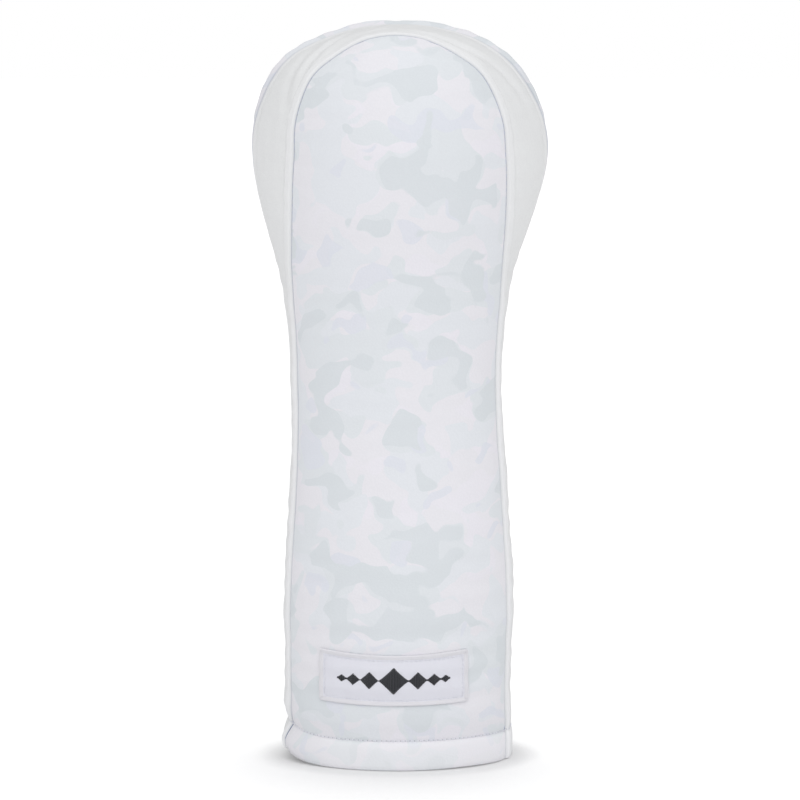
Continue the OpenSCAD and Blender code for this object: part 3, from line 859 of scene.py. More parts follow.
def shell_piece(name, grid, node, material):
    gusset = grid.part == "side"
    relief, dark, pale = gusset_relief(grid) if gusset else panel_relief(grid)
    hem, turn = hem_features(grid)
    gap = {"side": grid.to_seam, "front": grid.to_front, "back": grid.to_back}[grid.part]
    # the inner face, doubled where the hem is turned up
    fold = hem_fold(grid.z, 0.6)
    double = 1 - smooth(grid.z, HEM_H - 0.25, HEM_H + 0.1)
    top = relief + hem - fold
    bottom = -SHELL_T * (1 + double) - 0.75 * bell(gap, 0, 1.1) * (1 - double) + fold * 0.92
    bottom = np.minimum(bottom, top - 0.12)
    uv = grid.uv()
    if grid.part == "back":
        uv = uv + [310.0, 40.0]  # another stretch of the print
    zero = np.zeros_like(dark)
    # the groove attribute carries the painted seam shade, the ridge attribute the painted ridge
    # highlight
    ob = sheet(
        name, grid.at(top), grid.at(bottom), uv, pole=not gusset,
        attributes={"groove": (dark, zero), "ridge": (pale, zero)},
        hem_uv=(np.stack([turn, grid.z], -1), np.stack([turn, zero - 50], -1)),
    )
    add(ob, node, material)


# Heights of the rows over the hem, and distances of the columns from a seam
HEM_ROWS = [
    0, 0.04, 0.14, 0.3, 0.52, 0.8, 1.15, 1.7, 2.5, 3.6, 4.9, 6.2, 7.5, 8.7, 9.8, 10.8,
    11.6, 12.2, 12.65, 13.0, 13.25, 13.5, 13.8, 14.15, 14.6, 15.0, 15.15, 15.7, 16.5,
    17.6, 18.8, 20.0,
]
NEAR = [0.05, 0.2, 0.38, 0.6, 0.86, 1.16, 1.5, 1.95, 2.6, 3.4, 4.4, 5.6, 7.0]
NEAR_GUSSET = NEAR[:9] + [3.3, 3.9, 4.4, 4.9, 5.4, 6.0, 6.8, 7.8]
ROW = 1.3
FRONT = Grid("front", rows_for("front", HEM_ROWS, ROW), NEAR, 66)
BACK = Grid("back", rows_for("back", HEM_ROWS, ROW), NEAR, 84)
SIDE = Grid("side", rows_for("side", HEM_ROWS, ROW), NEAR_GUSSET, 18)


# --- Materials ---
def srgb(*channels):
    def linear(value):
        value = value / 255.0
        return value / 12.92 if value <= 0.04045 else ((value + 0.055) / 1.055) ** 2.4

    return (*(linear(value) for value in channels), 1.0)


class Graph:
    """A node tree emptied and ready to be filled."""

    def __init__(self, tree):
        self.tree = tree
        tree.nodes.clear()

    def put(self, socket, value):
        if isinstance(value, bpy.types.NodeSocket):
            self.tree.links.new(value, socket)
        else:
            socket.default_value = value

    def node(self, kind, inputs=None, **props):
        made = self.tree.nodes.new("ShaderNode" + kind)
        for key, value in props.items():
            setattr(made, key, value)
        for key, value in (inputs or {}).items():
            self.put(made.inputs[key], value)
        return made


class Material(Graph):
    def __init__(self, name):
        self.material = bpy.data.materials.new(name)
        self.material.use_nodes = True
        super().__init__(self.material.node_tree)
        out = self.node("OutputMaterial")
        self.shader = self.node("BsdfPrincipled")
        self.put(out.inputs[0], self.shader.outputs[0])

    def math(self, operation, a, b=0.0, clamp=False):
        inputs = {0: a, 1: b}
        return self.node("Math", inputs, operation=operation, use_clamp=clamp).outputs[0]

    def add(self, a, b):
        return self.math("ADD", a, b)

    def sub(self, a, b):
        return self.math("SUBTRACT", a, b)

    def mul(self, a, b, clamp=False):
        return self.math("MULTIPLY", a, b, clamp)

    def sine(self, value, pitch):
        return self.math("SINE", self.mul(value, math.pi / pitch))

    def ripple(self, value, pitch):
        return self.math("ABSOLUTE", self.sine(value, pitch))

    def vector(self, operation, a, b):
        return self.node("VectorMath", {0: a, 1: b}, operation=operation).outputs[0]

    def mix(self, share, under, over, amount=None, clamp=False):
        """over laid on under by share, times amount if one is given."""
        if amount is not None:
            share = self.mul(share, amount, clamp)
        return self.node("Mix", {0: share, 6: under, 7: over}, data_type="RGBA").outputs[2]

    def rgb(self, colour):
        made = self.node("RGB")
        made.outputs[0].default_value = colour
        return made.outputs[0]

    def uv(self):
        return self.node("Mapping", {"Vector": self.node("UVMap", uv_map="cloth").outputs[0]}).outputs[0]

    def millimetres(self):
        """Object coordinates in millimetres."""
        coords = self.node("TexCoord").outputs["Object"]
        return self.node("Mapping", {"Vector": coords, "Scale": (1000.0,) * 3}).outputs[0]

    def split(self, vector):
        return self.node("SeparateXYZ", {"Vector": vector}).outputs

    def attr(self, name):
        return self.node("Attribute", attribute_name=name).outputs["Fac"]

    def ramp(self, value, low, high):
        inputs = {"Value": value, "From Min": low, "From Max": high}
        return self.node("MapRange", inputs, interpolation_type="SMOOTHSTEP").outputs[0]

    def noise(self, vector, scale, detail=2.0, rough=0.5, distortion=0.0, seed=None, out="Fac"):
        inputs = {"Vector": vector, "Scale": scale, "Detail": detail, "Roughness": rough}
        inputs["Distortion"] = distortion
        if seed is not None:
            inputs["W"] = seed
        dimensions = "3D" if seed is None else "4D"
        return self.node("TexNoise", inputs, noise_dimensions=dimensions).outputs[out]

    def voronoi(self, vector, scale, randomness=1.0, feature="F1"):
        inputs = {"Vector": vector, "Scale": scale, "Randomness": randomness}
        return self.node("TexVoronoi", inputs, feature=feature).outputs["Distance"]

    def bump(self, height, strength, distance):
        inputs = {"Height": height, "Strength": strength, "Distance": distance}
        return self.node("Bump", inputs).outputs[0]

    def finish(self, **inputs):
        for key, value in inputs.items():
            self.put(self.shader.inputs[key.replace("_", " ")], value)
        return self.material


def leather_grain(mat, place):
    """Fine pebble grain of coated cloth, about 0.9 mm, with pores."""
    warp = mat.noise(place, scale=0.6, out="Color")
    cells = mat.voronoi(mat.vector("ADD", place, warp), 1.15, 0.95, "SMOOTH_F1")
    edge = mat.ramp(cells, 0.05, 0.62)
    fine = mat.noise(place, scale=3.1, detail=3.0, rough=0.6)
    return mat.add(mat.mul(edge, -0.8), mat.mul(fine, 0.35))


def coated(name, base_colour, wear, rough):
    """Coated cloth; base_colour makes the nodes of its colour."""
    mat = Material(name)
    place = mat.millimetres()
    grain = leather_grain(mat, place)
    broad = mat.noise(place, scale=0.03, detail=3.0)
    colour = mat.mix(mat.ramp(broad, 0.35, 0.7), base_colour(mat), wear, amount=0.10)
    # the grain's valleys hold a trace of shade
    colour = mat.mix(mat.ramp(grain, -0.15, -0.75), colour, srgb(186, 188, 196), amount=0.05)
    # painted highlight on the padded ridge beside each seam
    colour = mat.mix(mat.attr("ridge"), colour, srgb(238, 238, 241), amount=0.62)
    # painted shade, blue-grey, along the seam grooves
    colour = mat.mix(mat.attr("groove"), colour, srgb(118, 130, 158), amount=0.45, clamp=True)
    # needle holes of the hem's stitching: a soft dot in the middle of each pitch
    turn, height, _ = mat.split(mat.node("UVMap", uv_map="hem").outputs[0])
    along = mat.mul(mat.sub(mat.math("FRACT", turn), 0.5), HEM_PITCH / 0.26)
    across = mat.mul(mat.sub(height, STITCH_Z), 1 / 0.30)
    square = mat.add(mat.mul(along, along), mat.mul(across, across))
    hole = mat.math("POWER", 2.718, mat.mul(square, -1.0))
    # the hem below the topstitching is mixed towards near-white, least on the far left
    white = mat.add(mat.mul(mat.ramp(mat.split(place)[0], -48, -24), 0.38), 0.02)
    below = mat.ramp(height, STITCH_Z + 0.6, STITCH_Z - 2.6)
    colour = mat.mix(below, colour, srgb(250, 250, 253), amount=white)
    # painted shade in the needle holes
    colour = mat.mix(hole, colour, srgb(104, 108, 124), amount=0.50, clamp=True)
    grain = mat.sub(grain, mat.mul(hole, 2.5))
    return mat.finish(
        Base_Color=colour, Roughness=mat.add(mat.mul(broad, 0.12), rough - 0.06),
        Specular_IOR_Level=0.32, Sheen_Weight=0.06, Sheen_Roughness=0.5,
        Normal=mat.bump(grain, strength=0.22, distance=0.00012),
    )


def camo(mat):
    """Pale woodland print: blue, aqua and grey-green patches on near-white lavender."""
    base = mat.uv()
    bend = mat.noise(base, scale=1 / 11.0, detail=0.0, seed=1.7, out="Color")
    bend = mat.vector("SUBTRACT", bend, (0.5, 0.5, 0.5))
    bend = mat.vector("MULTIPLY", bend, (15.0, 13.5, 0.0))
    bent = mat.vector("ADD", base, bend)

    def field(seed, scale_x, scale_y, detail=1.0):
        inputs = {"Vector": bent, "Scale": (scale_x, scale_y, 1.0)}
        return mat.noise(mat.node("Mapping", inputs).outputs[0], 1.0, detail, seed=seed)

    def patch(value, low, soft=0.014):
        return mat.ramp(value, low, low + soft)

    blue, aqua = field(3.1, 0.050, 0.064), field(9.4, 0.047, 0.061)
    violet, deep = field(15.8, 0.053, 0.068), field(21.3, 0.050, 0.068, 1.2)
    pale = field(33.7, 0.045, 0.060)
    dark = mat.add(mat.mul(deep, 0.62), mat.mul(aqua, 0.38))
    colour = mat.rgb(srgb(227, 226, 231))
    colour = mat.mix(patch(pale, 0.56, 0.03), colour, srgb(229, 227, 234), amount=0.7)
    colour = mat.mix(patch(blue, 0.528), colour, srgb(222, 225, 230))
    colour = mat.mix(patch(aqua, 0.545), colour, srgb(219, 223, 227))
    colour = mat.mix(patch(violet, 0.61), colour, srgb(217, 220, 229), amount=0.75)
    return mat.mix(patch(dark, 0.556), colour, srgb(213, 218, 222))


def plain(mat):
    return mat.rgb(srgb(226, 227, 228))


def thread_mat(name, colour):
    mat = Material(name)
    place = mat.millimetres()
    wave = {"Vector": place, "Scale": 1.7, "Distortion": 1.2, "Detail": 1.0}
    twist = mat.node("TexWave", wave, wave_type="BANDS", bands_direction="DIAGONAL")
    fuzz = mat.noise(place, scale=5.0, rough=0.6)
    height = mat.add(twist.outputs["Fac"], mat.mul(fuzz, 0.5))
    return mat.finish(
        Base_Color=mat.mix(fuzz, colour, srgb(200, 202, 212), amount=0.25),
        Roughness=0.55, Sheen_Weight=0.25, Specular_IOR_Level=0.35,
        Normal=mat.bump(height, strength=0.35, distance=0.00008),
    )


def woven(name, colour, shade, pitch=0.42):
    """Plain weave: warp over weft, from the label's own coordinates."""
    mat = Material(name)
    x, y, _ = mat.split(mat.uv())
    warp, weft = mat.sine(x, pitch), mat.sine(y, pitch)
    check = mat.math("GREATER_THAN", mat.mul(warp, weft), 0.0)
    over, under = (
        mat.math("POWER", mat.math("ABSOLUTE", yarn), 0.6) for yarn in (warp, weft)
    )
    height = mat.add(mat.mul(over, check), mat.mul(under, mat.sub(1.0, check)))
    fuzz = mat.noise(mat.millimetres(), scale=4.0, rough=0.6)
    # painted shade where the yarns dip under each other
    colour = mat.mix(mat.sub(1.0, height), colour, shade, amount=0.35)
    return mat.finish(
        Base_Color=mat.mix(fuzz, colour, shade, amount=0.12),
        Roughness=0.62, Sheen_Weight=0.2, Specular_IOR_Level=0.3,
        Normal=mat.bump(height, strength=0.45, distance=0.0001),
    )


def satin(name, colour, shade):
    mat = Material(name)
    yarn = mat.ripple(mat.split(mat.uv())[0], 0.42)
    fuzz = mat.noise(mat.millimetres(), scale=3.5, detail=3.0, rough=0.6)
    height = mat.add(yarn, mat.mul(fuzz, 0.4))
    # painted shade between the satin yarns
    return mat.finish(
        Base_Color=mat.mix(mat.sub(1.0, yarn), colour, shade, amount=0.30),
        Roughness=0.42, Sheen_Weight=0.3, Specular_IOR_Level=0.45,
        Normal=mat.bump(height, strength=0.3, distance=0.00006),
    )


def fleece(name, colour, shade):
    mat = Material(name)
    place = mat.millimetres()
    tufts = mat.noise(place, scale=0.55, detail=4.0, rough=0.65, distortion=0.6)
    fibres = mat.noise(place, scale=2.6, detail=3.0, rough=0.7, distortion=1.5)
    height = mat.add(mat.mul(tufts, 1.2), fibres)
    # painted shade in the hollows of the pile
    return mat.finish(
        Base_Color=mat.mix(mat.ramp(height, 0.7, 1.5), shade, colour),
        Roughness=0.95, Sheen_Weight=0.7, Sheen_Roughness=0.6, Specular_IOR_Level=0.1,
        Normal=mat.bump(height, strength=0.7, distance=0.0005),
    )


def foam_mat(name, colour, shade):
    mat = Material(name)
    place = mat.millimetres()
    height = mat.add(mat.voronoi(place, 1.6), mat.mul(mat.voronoi(place, 4.0), 0.5))
    # painted shade in the pores
    return mat.finish(
        Base_Color=mat.mix(mat.ramp(height, 0.25, 0.8), shade, colour),
        Roughness=0.9, Specular_IOR_Level=0.15,
        Normal=mat.bump(height, strength=0.6, distance=0.0004),
    )


def elastic_mat(name):
    mat = Material(name)
    along, up, _ = mat.split(mat.uv())
    rib = mat.ripple(up, 1.3)
    height = mat.add(rib, mat.mul(mat.ripple(along, 0.5), 0.4))
    # painted shade in the valleys between the ribs
    return mat.finish(
        Base_Color=mat.mix(rib, srgb(196, 197, 200), srgb(240, 240, 238), amount=0.6),
        Roughness=0.8, Sheen_Weight=0.2,
        Normal=mat.bump(height, strength=0.5, distance=0.0002),
    )


M_PRINT = coated("printed_cloth_mat", camo, wear=srgb(226, 226, 234), rough=0.50)
M_PLAIN = coated("plain_cloth_mat", plain, wear=srgb(221, 222, 223), rough=0.46)
M_THREAD = thread_mat("thread_mat", srgb(226, 227, 234))
# seam thread: the thread's own colour darkened to blue-grey by painted shade of the seam groove
M_SHADED_SEAM_THREAD = thread_mat("shaded_seam_thread_mat", srgb(172, 180, 202))
M_LABEL = woven("label_weave_mat", srgb(225, 225, 233), srgb(206, 208, 220))
M_SATIN = satin("label_satin_mat", srgb(223, 222, 227), srgb(203, 203, 212))
M_MOTIF = satin("dark_embroidery_mat", srgb(30, 32, 41), srgb(12, 13, 18))
M_FLEECE = fleece("fleece_mat", srgb(222, 224, 228), srgb(176, 179, 186))
M_FOAM = foam_mat("foam_mat", srgb(240, 236, 220), srgb(205, 200, 180))
M_ELASTIC = elastic_mat("elastic_webbing_mat")

shell_piece("front_panel_cloth", FRONT, "front_panel", M_PRINT)
shell_piece("back_panel_cloth", BACK, "back_panel", M_PRINT)
shell_piece("side_gusset_cloth", SIDE, "side_gusset", M_PLAIN)

# --- Foam and lining: depths below the loft of each layer's outer and inner face ---
FOAM_OUT, FOAM_IN = SHELL_T + 0.2, SHELL_T + FOAM_T
ELASTIC_IN = FOAM_IN - 0.5
ELASTIC_OUT = ELASTIC_IN - ELASTIC_T
LINING_OUT = FOAM_IN + 0.1
LINING_IN = LINING_OUT + LINING_T
SOFT_ROW = 3.0
FOAM_ROWS = [HEM_H + up for up in (3, 3.6, 5, 7, 9, 12)]
LINING_ROWS = [HEM_H + up for up in (0.7, 1.3, 2.6, 4.6, 6.8, 9, 12)]


def inner_grid(part, heights, short, near):
    """Coarser grid; the front's and back's stop short of the crown by that much of a level."""
    top = LAST if part == "side" else LAST - short
    middle = {"front": 28, "back": 34, "side": 8}[part]
    return Grid(part, rows_for(part, heights, SOFT_ROW, top), near, middle)


def foam_piece(tag, part):
    grid = inner_grid(part, FOAM_ROWS, 0.42, (1.4, 2.0, 3.0, 4.6))
    soft_edge = 0.7 * bell(grid.to_seam, 1.4, 1.1)
    thin = np.interp(grid.z, [HEM_H + 3, HEM_H + 9], [0.3, 1.0])
    inner = -(FOAM_OUT + (FOAM_IN - FOAM_OUT) * thin) + soft_edge
    # pressed thin under the neck elastic
    end = ELASTIC_Z + ELASTIC_W
    pressed = plateau(grid.z, ELASTIC_Z - 2.5, ELASTIC_Z - 0.8, end + 0.8, end + 2.5)
    inner = inner * (1 - pressed) + pressed * (-(ELASTIC_OUT - 0.08) + soft_edge * 0.5)
    top = -FOAM_OUT - soft_edge + 0.04 * noise3(grid.points / 1.9, 81) - 0.05
    inner = np.minimum(inner + 0.04 * noise3(grid.points / 1.9, 82), top - 0.25)
    ob = sheet(tag + "_foam_pad", grid.at(top), grid.at(inner), grid.uv())
    add(ob, tag + "_foam", M_FOAM)


def lining_piece(tag, part):
    grid = inner_grid(part, LINING_ROWS, 0.05, (0.12, 0.5, 1.2, 2.2, 3.6))
    foot, fold, full = HEM_H + 0.7, HEM_H + 2.6, HEM_H + 9
    depths = [SHELL_T + 0.2, FOAM_OUT + FOAM_T * 0.3 + 0.15, LINING_OUT + 0.05]
    depth = np.interp(grid.z, [foot, fold, full], depths)
    thick = np.interp(grid.z, [foot, fold], [LINING_T * 0.7, LINING_T])
    pile = 0.12 * noise3(grid.points / 2.2, 91) + 0.08 * noise3(grid.points / 1.0, 92)
    pile = np.clip(pile + 0.2 * noise3(grid.points / 14.0, 93), -0.25, 0.25)
    seam = 0.5 * bell(grid.to_seam, 0, 1.8)
    inner = grid.at(-depth - thick + pile + seam)
    ob = sheet(tag + "_lining_cloth", grid.at(-depth - 0.02), inner, grid.uv())
    add(ob, tag + "_lining", M_FLEECE)


for tag, part in (("front", "front"), ("back", "back"), ("gusset", "side")):
    foam_piece(tag, part)
    lining_piece(tag, part)

# --- Threads: closed tubes, each a run of rings and then its two end points ---
STITCH_SIDES = 8


def frame_of(tangent, normal):
    """Sideways direction and squared-up normal of a curve."""
    across = unit(np.cross(tangent, normal))
    return across, np.cross(across, tangent)


def tubes(centre, tangent, normal, across, angles, high, wide, overhang):
    """Vertices (tube, vertex, 3) round centre lines (tube, ring, 3)."""
    rise = normal[:, :, None] * (np.sin(angles) * high)[..., None]
    spread = across[:, :, None] * (np.cos(angles) * wide)[..., None]
    rings = centre[:, :, None] + rise + spread
    ends = [centre[:, 0] - tangent[:, 0] * overhang, centre[:, -1] + tangent[:, -1] * overhang]
    return np.concatenate([rings.reshape(len(centre), -1, 3), np.stack(ends, 1)], 1)


def tube_mesh(name, verts, sides, uv):
    count, per = verts.shape[:2]
    rings = (per - 2) // sides
    last = (rings - 1) * sides
    one = []
    for i, j in itertools.product(range(rings - 1), range(sides)):
        a, b = i * sides + j, i * sides + (j + 1) % sides
        one.append((a, b, b + sides, a + sides))
    for j in range(sides):
        after = (j + 1) % sides
        one.append((rings * sides, after, j))
        one.append((rings * sides + 1, last + j, last + after))
    faces = [tuple(v + k * per for v in face) for k in range(count) for face in one]
    return smooth_mesh(name, verts.reshape(-1, 3), faces, uv)


def stitches(path, normals, pitch, gap, radius, high, sink, seed, closed=False, rings=9):
    """Separate lockstitches along a curve: each dives into the cloth at both ends."""
    arc = arc_length(path)
    total = arc[-1]
    count = max(1, int(round(total / pitch)))
    pitch = total / count
    k = np.arange(count if closed else count - 1)
    share = np.linspace(0, 1, rings)
    jitter = noise1(k * 1.37, 500 + seed)
    middle = (k + 1.0) * pitch + 0.04 * jitter
    half = (pitch - gap) / 2 * (1 + 0.05 * noise1(k * 2.11, 600 + seed))
    along = middle[:, None] + (2 * share - 1) * half[:, None]
    along = along % total if closed else np.clip(along, 0, total)
    centre = resample(along, arc, path)
    ahead = resample(np.clip(along + 0.15, 0, total), arc, path)
    behind = resample(np.clip(along - 0.15, 0, total), arc, path)
    tangent = unit(ahead - behind)
    across, normal = frame_of(tangent, unit(resample(along, arc, normals)))
    rise = sink + high * (1 + 0.12 * jitter[:, None])
    arch = -sink + rise * np.maximum(np.sin(np.pi * share), 0) ** 0.55
    sway = 0.05 * noise1(k * 0.93, 700 + seed)[:, None]
    sway = sway + 0.06 * (2 * share - 1) * noise1(k * 1.71, 800 + seed)[:, None]
    centre = centre + normal * arch[..., None] + across * sway[..., None]
    # two twisted lobes, tapering to the ends
    angles = np.arange(STITCH_SIDES) / STITCH_SIDES * 2 * np.pi
    taper = radius * (1 - 0.35 * np.abs(2 * share - 1) ** 5)
    lobes = 1 + 0.14 * np.cos(2 * (angles - 2 * np.pi * 1.6 * share[:, None]))
    size = taper[:, None] * lobes
    return tubes(centre, tangent, normal, across, angles, size, size, radius * 0.5)


def stitch_mesh(name, verts):
    share = np.linspace(0, 1, (verts.shape[1] - 2) // STITCH_SIDES)
    angles = np.arange(STITCH_SIDES) / STITCH_SIDES * 2 * np.pi
    body = np.stack([np.repeat(share, STITCH_SIDES) * 3, np.tile(angles, len(share))], -1)
    uv = np.tile(np.concatenate([body, [[0, 0], [3, 0]]]), (len(verts), 1))
    return tube_mesh(name, verts, STITCH_SIDES, uv)


# Seam threads: name, node, seam, depth below the loft, lowest z, seed, sink, height, material
LINING_SEAM = (ELASTIC_IN + LINING_OUT) / 2 + 0.1
for name, node, seam, depth, lowest, seed, sink, high, material in (
    ("front_seam_stitches", "front_seam_thread", FRONT_SEAM, 0.92, 1.5, 3, 0.25, 0.1,
     M_SHADED_SEAM_THREAD),
    ("back_seam_stitches", "back_seam_thread", BACK_SEAM, 0.92, 1.5, 4, 0.25, 0.1,
     M_SHADED_SEAM_THREAD),
    ("lining_front_stitches", "lining_front_seam_thread", FRONT_SEAM, LINING_SEAM, HEM_H + 10,
     5, 0.02, 0.02, M_THREAD),
    ("lining_back_stitches", "lining_back_seam_thread", BACK_SEAM, LINING_SEAM, HEM_H + 10,
     6, 0.02, 0.02, M_THREAD),
):
    out = out_dir(seam.points)
    path = seam.points + soft_shift(seam.points) + out * (soft_out(seam.points) - depth)[:, None]
    keep = seam.points[:, 2] > lowest
    run = stitches(
        path[keep][::3], out[keep][::3], pitch=3.2, gap=0.5, radius=0.2, high=high, sink=sink,
        seed=seed,
    )
    add(stitch_mesh(name, run), node, material)


def hem_topstitch():
    """Stitches in the hem's groove, lifted where they cross the gusset's ridges."""
    to_front, _ = FRONT_SEAM.measure(HEM_POINTS)
    to_back, _ = BACK_SEAM.measure(HEM_POINTS)
    lift = 0.62 * plateau(to_front, 0.2, 1.5, 4.2, 6.0)
    lift = lift + 0.4 * plateau(to_back, 0.2, 1.5, 3.4, 5.2)
    x, y, _ = HEM_POINTS.T
    lift = lift * ((np.abs(x) > 46) & (y > -14.2) & (y < 16.2))
    path = HEM_POINTS + soft_shift(HEM_POINTS) + HEM_NORMALS * (HEM_SOFT - 0.36 + lift)[:, None]
    run = stitches(
        path, HEM_NORMALS, HEM_PITCH, gap=0.42, radius=0.21, high=0.18, sink=0.36, seed=9,
        closed=True,
    )
    add(stitch_mesh("hem_topstitches", run), "hem_topstitch", M_THREAD)


hem_topstitch()


# --- Neck elastic and its stitching ---
def neck_elastic():
    heights = np.linspace(ELASTIC_Z, ELASTIC_Z + ELASTIC_W, 27)
    rings = [ring_at(z, 1801) for z in heights]
    points, normals, soft = (np.array([ring[k][:-1:12] for ring in rings]) for k in (0, 1, 3))
    edge = 0.25 * (np.abs(np.linspace(-1, 1, len(heights))) ** 14)[:, None]
    rib = 0.07 * np.cos(np.linspace(0, 2 * np.pi * 13, len(heights)))[:, None]
    base = points + soft_shift(points)
    outer = base + normals * (soft - ELASTIC_OUT - edge - 0.08 + rib)[..., None]
    inner = base + normals * (soft - ELASTIC_IN + edge + 0.03 + rib)[..., None]
    around = np.arange(points.shape[1])[None] * 2.0
    uv = np.stack(np.broadcast_arrays(around, heights[:, None]), -1)
    band = sheet("neck_elastic_band", outer, inner, uv, ring=True)
    add(band, "neck_elastic", M_ELASTIC)


def elastic_stitching():
    runs = []
    for seed, z in ((20, ELASTIC_Z + 3), (21, ELASTIC_Z + ELASTIC_W - 3)):
        points, normals, _, soft = ring_at(z, 3000)
        path = points + soft_shift(points) + normals * (soft - LINING_IN - 0.12)[:, None]
        runs.append(stitches(
            path, -normals, pitch=3.4, gap=0.6, radius=0.24, high=0.12, sink=0.45, seed=seed,
            closed=True,
        ))
    verts = np.concatenate(runs)
    uv = np.zeros((verts.shape[0] * verts.shape[1], 2))
    ob = tube_mesh("elastic_stitches", verts, STITCH_SIDES, uv)
    add(ob, "elastic_stitching", M_THREAD)


neck_elastic()
elastic_stitching()


# --- Label ---
def place(part, level, across, offset):
    """Points and normals at any level and place across, at an offset from the surface."""
    points = point(part, level, across)
    normals = true_normal(part, level, across)
    out = soft_out(points) + sim_out(part, level, across) + offset
    return points + soft_shift(points) + normals * out[..., None], normals


def on_label(along, up, offset):
    level = label_z(along, up) / STEP
    columns_ = section(level)
    arc = np.radians(columns_[..., 8])
    sine = (LABEL_X + along) * np.sin(arc) / columns_[..., 1]
    return place("front", level, np.arcsin(np.clip(sine, -1, 1)) / arc, offset)


def label_sheet():
    cols, rows = ((132, 44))
    half_w, half_h = LABEL_W / 2 - EDGING_W * 0.55, LABEL_H / 2 - EDGING_W * 0.55
    up, along = np.meshgrid(
        np.linspace(-half_h, half_h, rows), np.linspace(-half_w, half_w, cols), indexing="ij"
    )
    edge = np.minimum(LABEL_W / 2 - np.abs(along), LABEL_H / 2 - np.abs(up))

    def ripple(scale_x, scale_y, seed):
        return noise3(np.stack([along / scale_x, up / scale_y, along * 0], -1), seed)

    # slack of the woven ground between its sewn edges, and the pull of the inner stitch row
    puff = 0.28 * smooth(edge, EDGING_W + 0.8, 8.0) * (1 + 0.35 * ripple(13.0, 9.0, 101))
    pull = -0.16 * bell(edge, EDGING_W + 0.55, 0.45)
    top, _ = on_label(along, up, LABEL_T + puff + pull + 0.05 * ripple(3.0, 3.0, 102))
    bottom, _ = on_label(along, up, 0.06 + puff * 0.6)
    ob = sheet("label_patch_weave", top, bottom, np.stack([along, up], -1))
    add(ob, "label_patch", M_LABEL)


def rounded_path(inset, wide_count, tall_count, corner_count, corner):
    """Points anticlockwise round the label at an inset, from the lower right corner."""
    radius = max(corner - inset, 0.05)
    x, y = LABEL_W / 2 - inset - radius, LABEL_H / 2 - inset - radius
    path = []
    for centre, start, direction, length, count in (
        ((x, -y), -90, (0, 1), 2 * y, tall_count),
        ((x, y), 0, (-1, 0), 2 * x, wide_count),
        ((-x, y), 90, (0, -1), 2 * y, tall_count),
        ((-x, -y), 180, (1, 0), 2 * x, wide_count),
    ):
        angles = np.radians(start + 90 * np.arange(corner_count + 1) / corner_count)
        bend = np.array(centre) + radius * np.stack([np.cos(angles), np.sin(angles)], -1)
        path += [bend[:-1], bend[-1] + np.outer(length * np.arange(count) / count, direction)]
    return np.vstack(path)


# Section of the edging from the outside in: inset, fullness. The first row is set apart.
EDGING_PROFILE = (
    (0.0, 0.0), (0.10, 0.42), (0.3, 0.72), (0.6, 0.86), (0.95, 0.80),
    (1.3, 0.62), (1.62, 0.50), (1.86, 0.42), (EDGING_W, 0.16),
)


def label_edging():
    counts = ((450, 150, 14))
    tops, bottoms, uvs = [], [], []
    for row, (inset, fullness) in enumerate(EDGING_PROFILE):
        high, low = (fullness * 0.46 + LABEL_T - 0.14, 0.06) if row else (0.30, 0.10)
        path = rounded_path(inset, *counts, 1.5)
        index = np.arange(len(path))
        ribs = 0.055 * np.cos(2 * np.pi * index / 3.0)
        ribs = ribs * np.sin(np.pi * (row + 0.5) / len(EDGING_PROFILE))
        slow = 0.05 * noise1(index / 40.0, 111)
        tops.append(on_label(*path.T, high + ribs + slow)[0])
        bottoms.append(on_label(*path.T, low)[0])
        uvs.append(np.stack([index * 0.42, np.full(len(path), inset)], -1))
    ob = sheet(
        "label_satin_edging", np.array(tops), np.array(bottoms), np.array(uvs), ring=True
    )
    add(ob, "label_edging", M_SATIN)


def label_stitching():
    path = rounded_path(EDGING_W + 0.55, 300, 100, 10, 3.0)
    points, normals = (
        np.vstack([rows, rows[:1]]) for rows in on_label(*path.T, LABEL_T - 0.02)
    )
    run = stitches(
        points, normals, pitch=2.1, gap=0.4, radius=0.14, high=0.10, sink=0.22, seed=31,
        closed=True, rings=7,
    )
    add(stitch_mesh("label_stitches", run), "label_stitching", M_THREAD)


# Embroidered diamonds: centre along the label, half width, half height
DIAMONDS = [(0.0, 6.5, 6.0)]
for side in (-1, 1):
    DIAMONDS += [(side * 10.5, 4.0, 4.0), (side * 17.5, 3.0, 2.75), (side * 22.5, 2.1, 1.8)]


def label_motif(pitch=0.40, radius=0.24, rings=9, sides=6):
    """Each diamond is filled with upright arched strands."""
    strands = []
    for centre, half_w, half_h in DIAMONDS:
        count = int(round(2 * half_w / pitch))
        for i in range(count):
            x = -half_w + (i + 0.5) * 2 * half_w / count
            strands.append((i, centre, x, max(half_h * (1 - abs(x) / half_w), 0.35)))
    number, centre, x, half = np.array(strands).T[..., None]
    share = np.linspace(-1, 1, rings)
    along = centre + x + 0.03 * noise1(number * 1.7 + centre, 121) + 0.05 * share
    up = share * (half + 0.08 * noise1(number * 2.3 + centre, 122))
    puff = 0.16 + 0.36 * np.minimum(1.0, half / 3.0)
    lift = LABEL_T + 0.10 + puff * np.sqrt(np.clip(1 - np.abs(share) ** 2.6, 0, 1))
    lift = lift + 0.26 * smooth(half / 5.0, 0, 1)
    lift[:, [0, -1]] -= 0.28
    points, normal = on_label(along, up, lift)
    tangent = unit(np.gradient(points, axis=1))
    across, normal = frame_of(tangent, normal)
    angles = np.arange(sides) / sides * 2 * np.pi
    verts = tubes(points, tangent, normal, across, angles, radius * 0.8, radius, 0.08)
    down = np.linspace(-half[:, 0], half[:, 0], rings * sides + 2, axis=-1)
    uv = np.stack(np.broadcast_arrays(number * 0.42, down), -1).reshape(-1, 2)
    ob = tube_mesh("label_motif_strands", verts, sides, uv)
    add(ob, "label_motif", M_MOTIF)


label_sheet()
label_edging()
label_stitching()
label_motif()


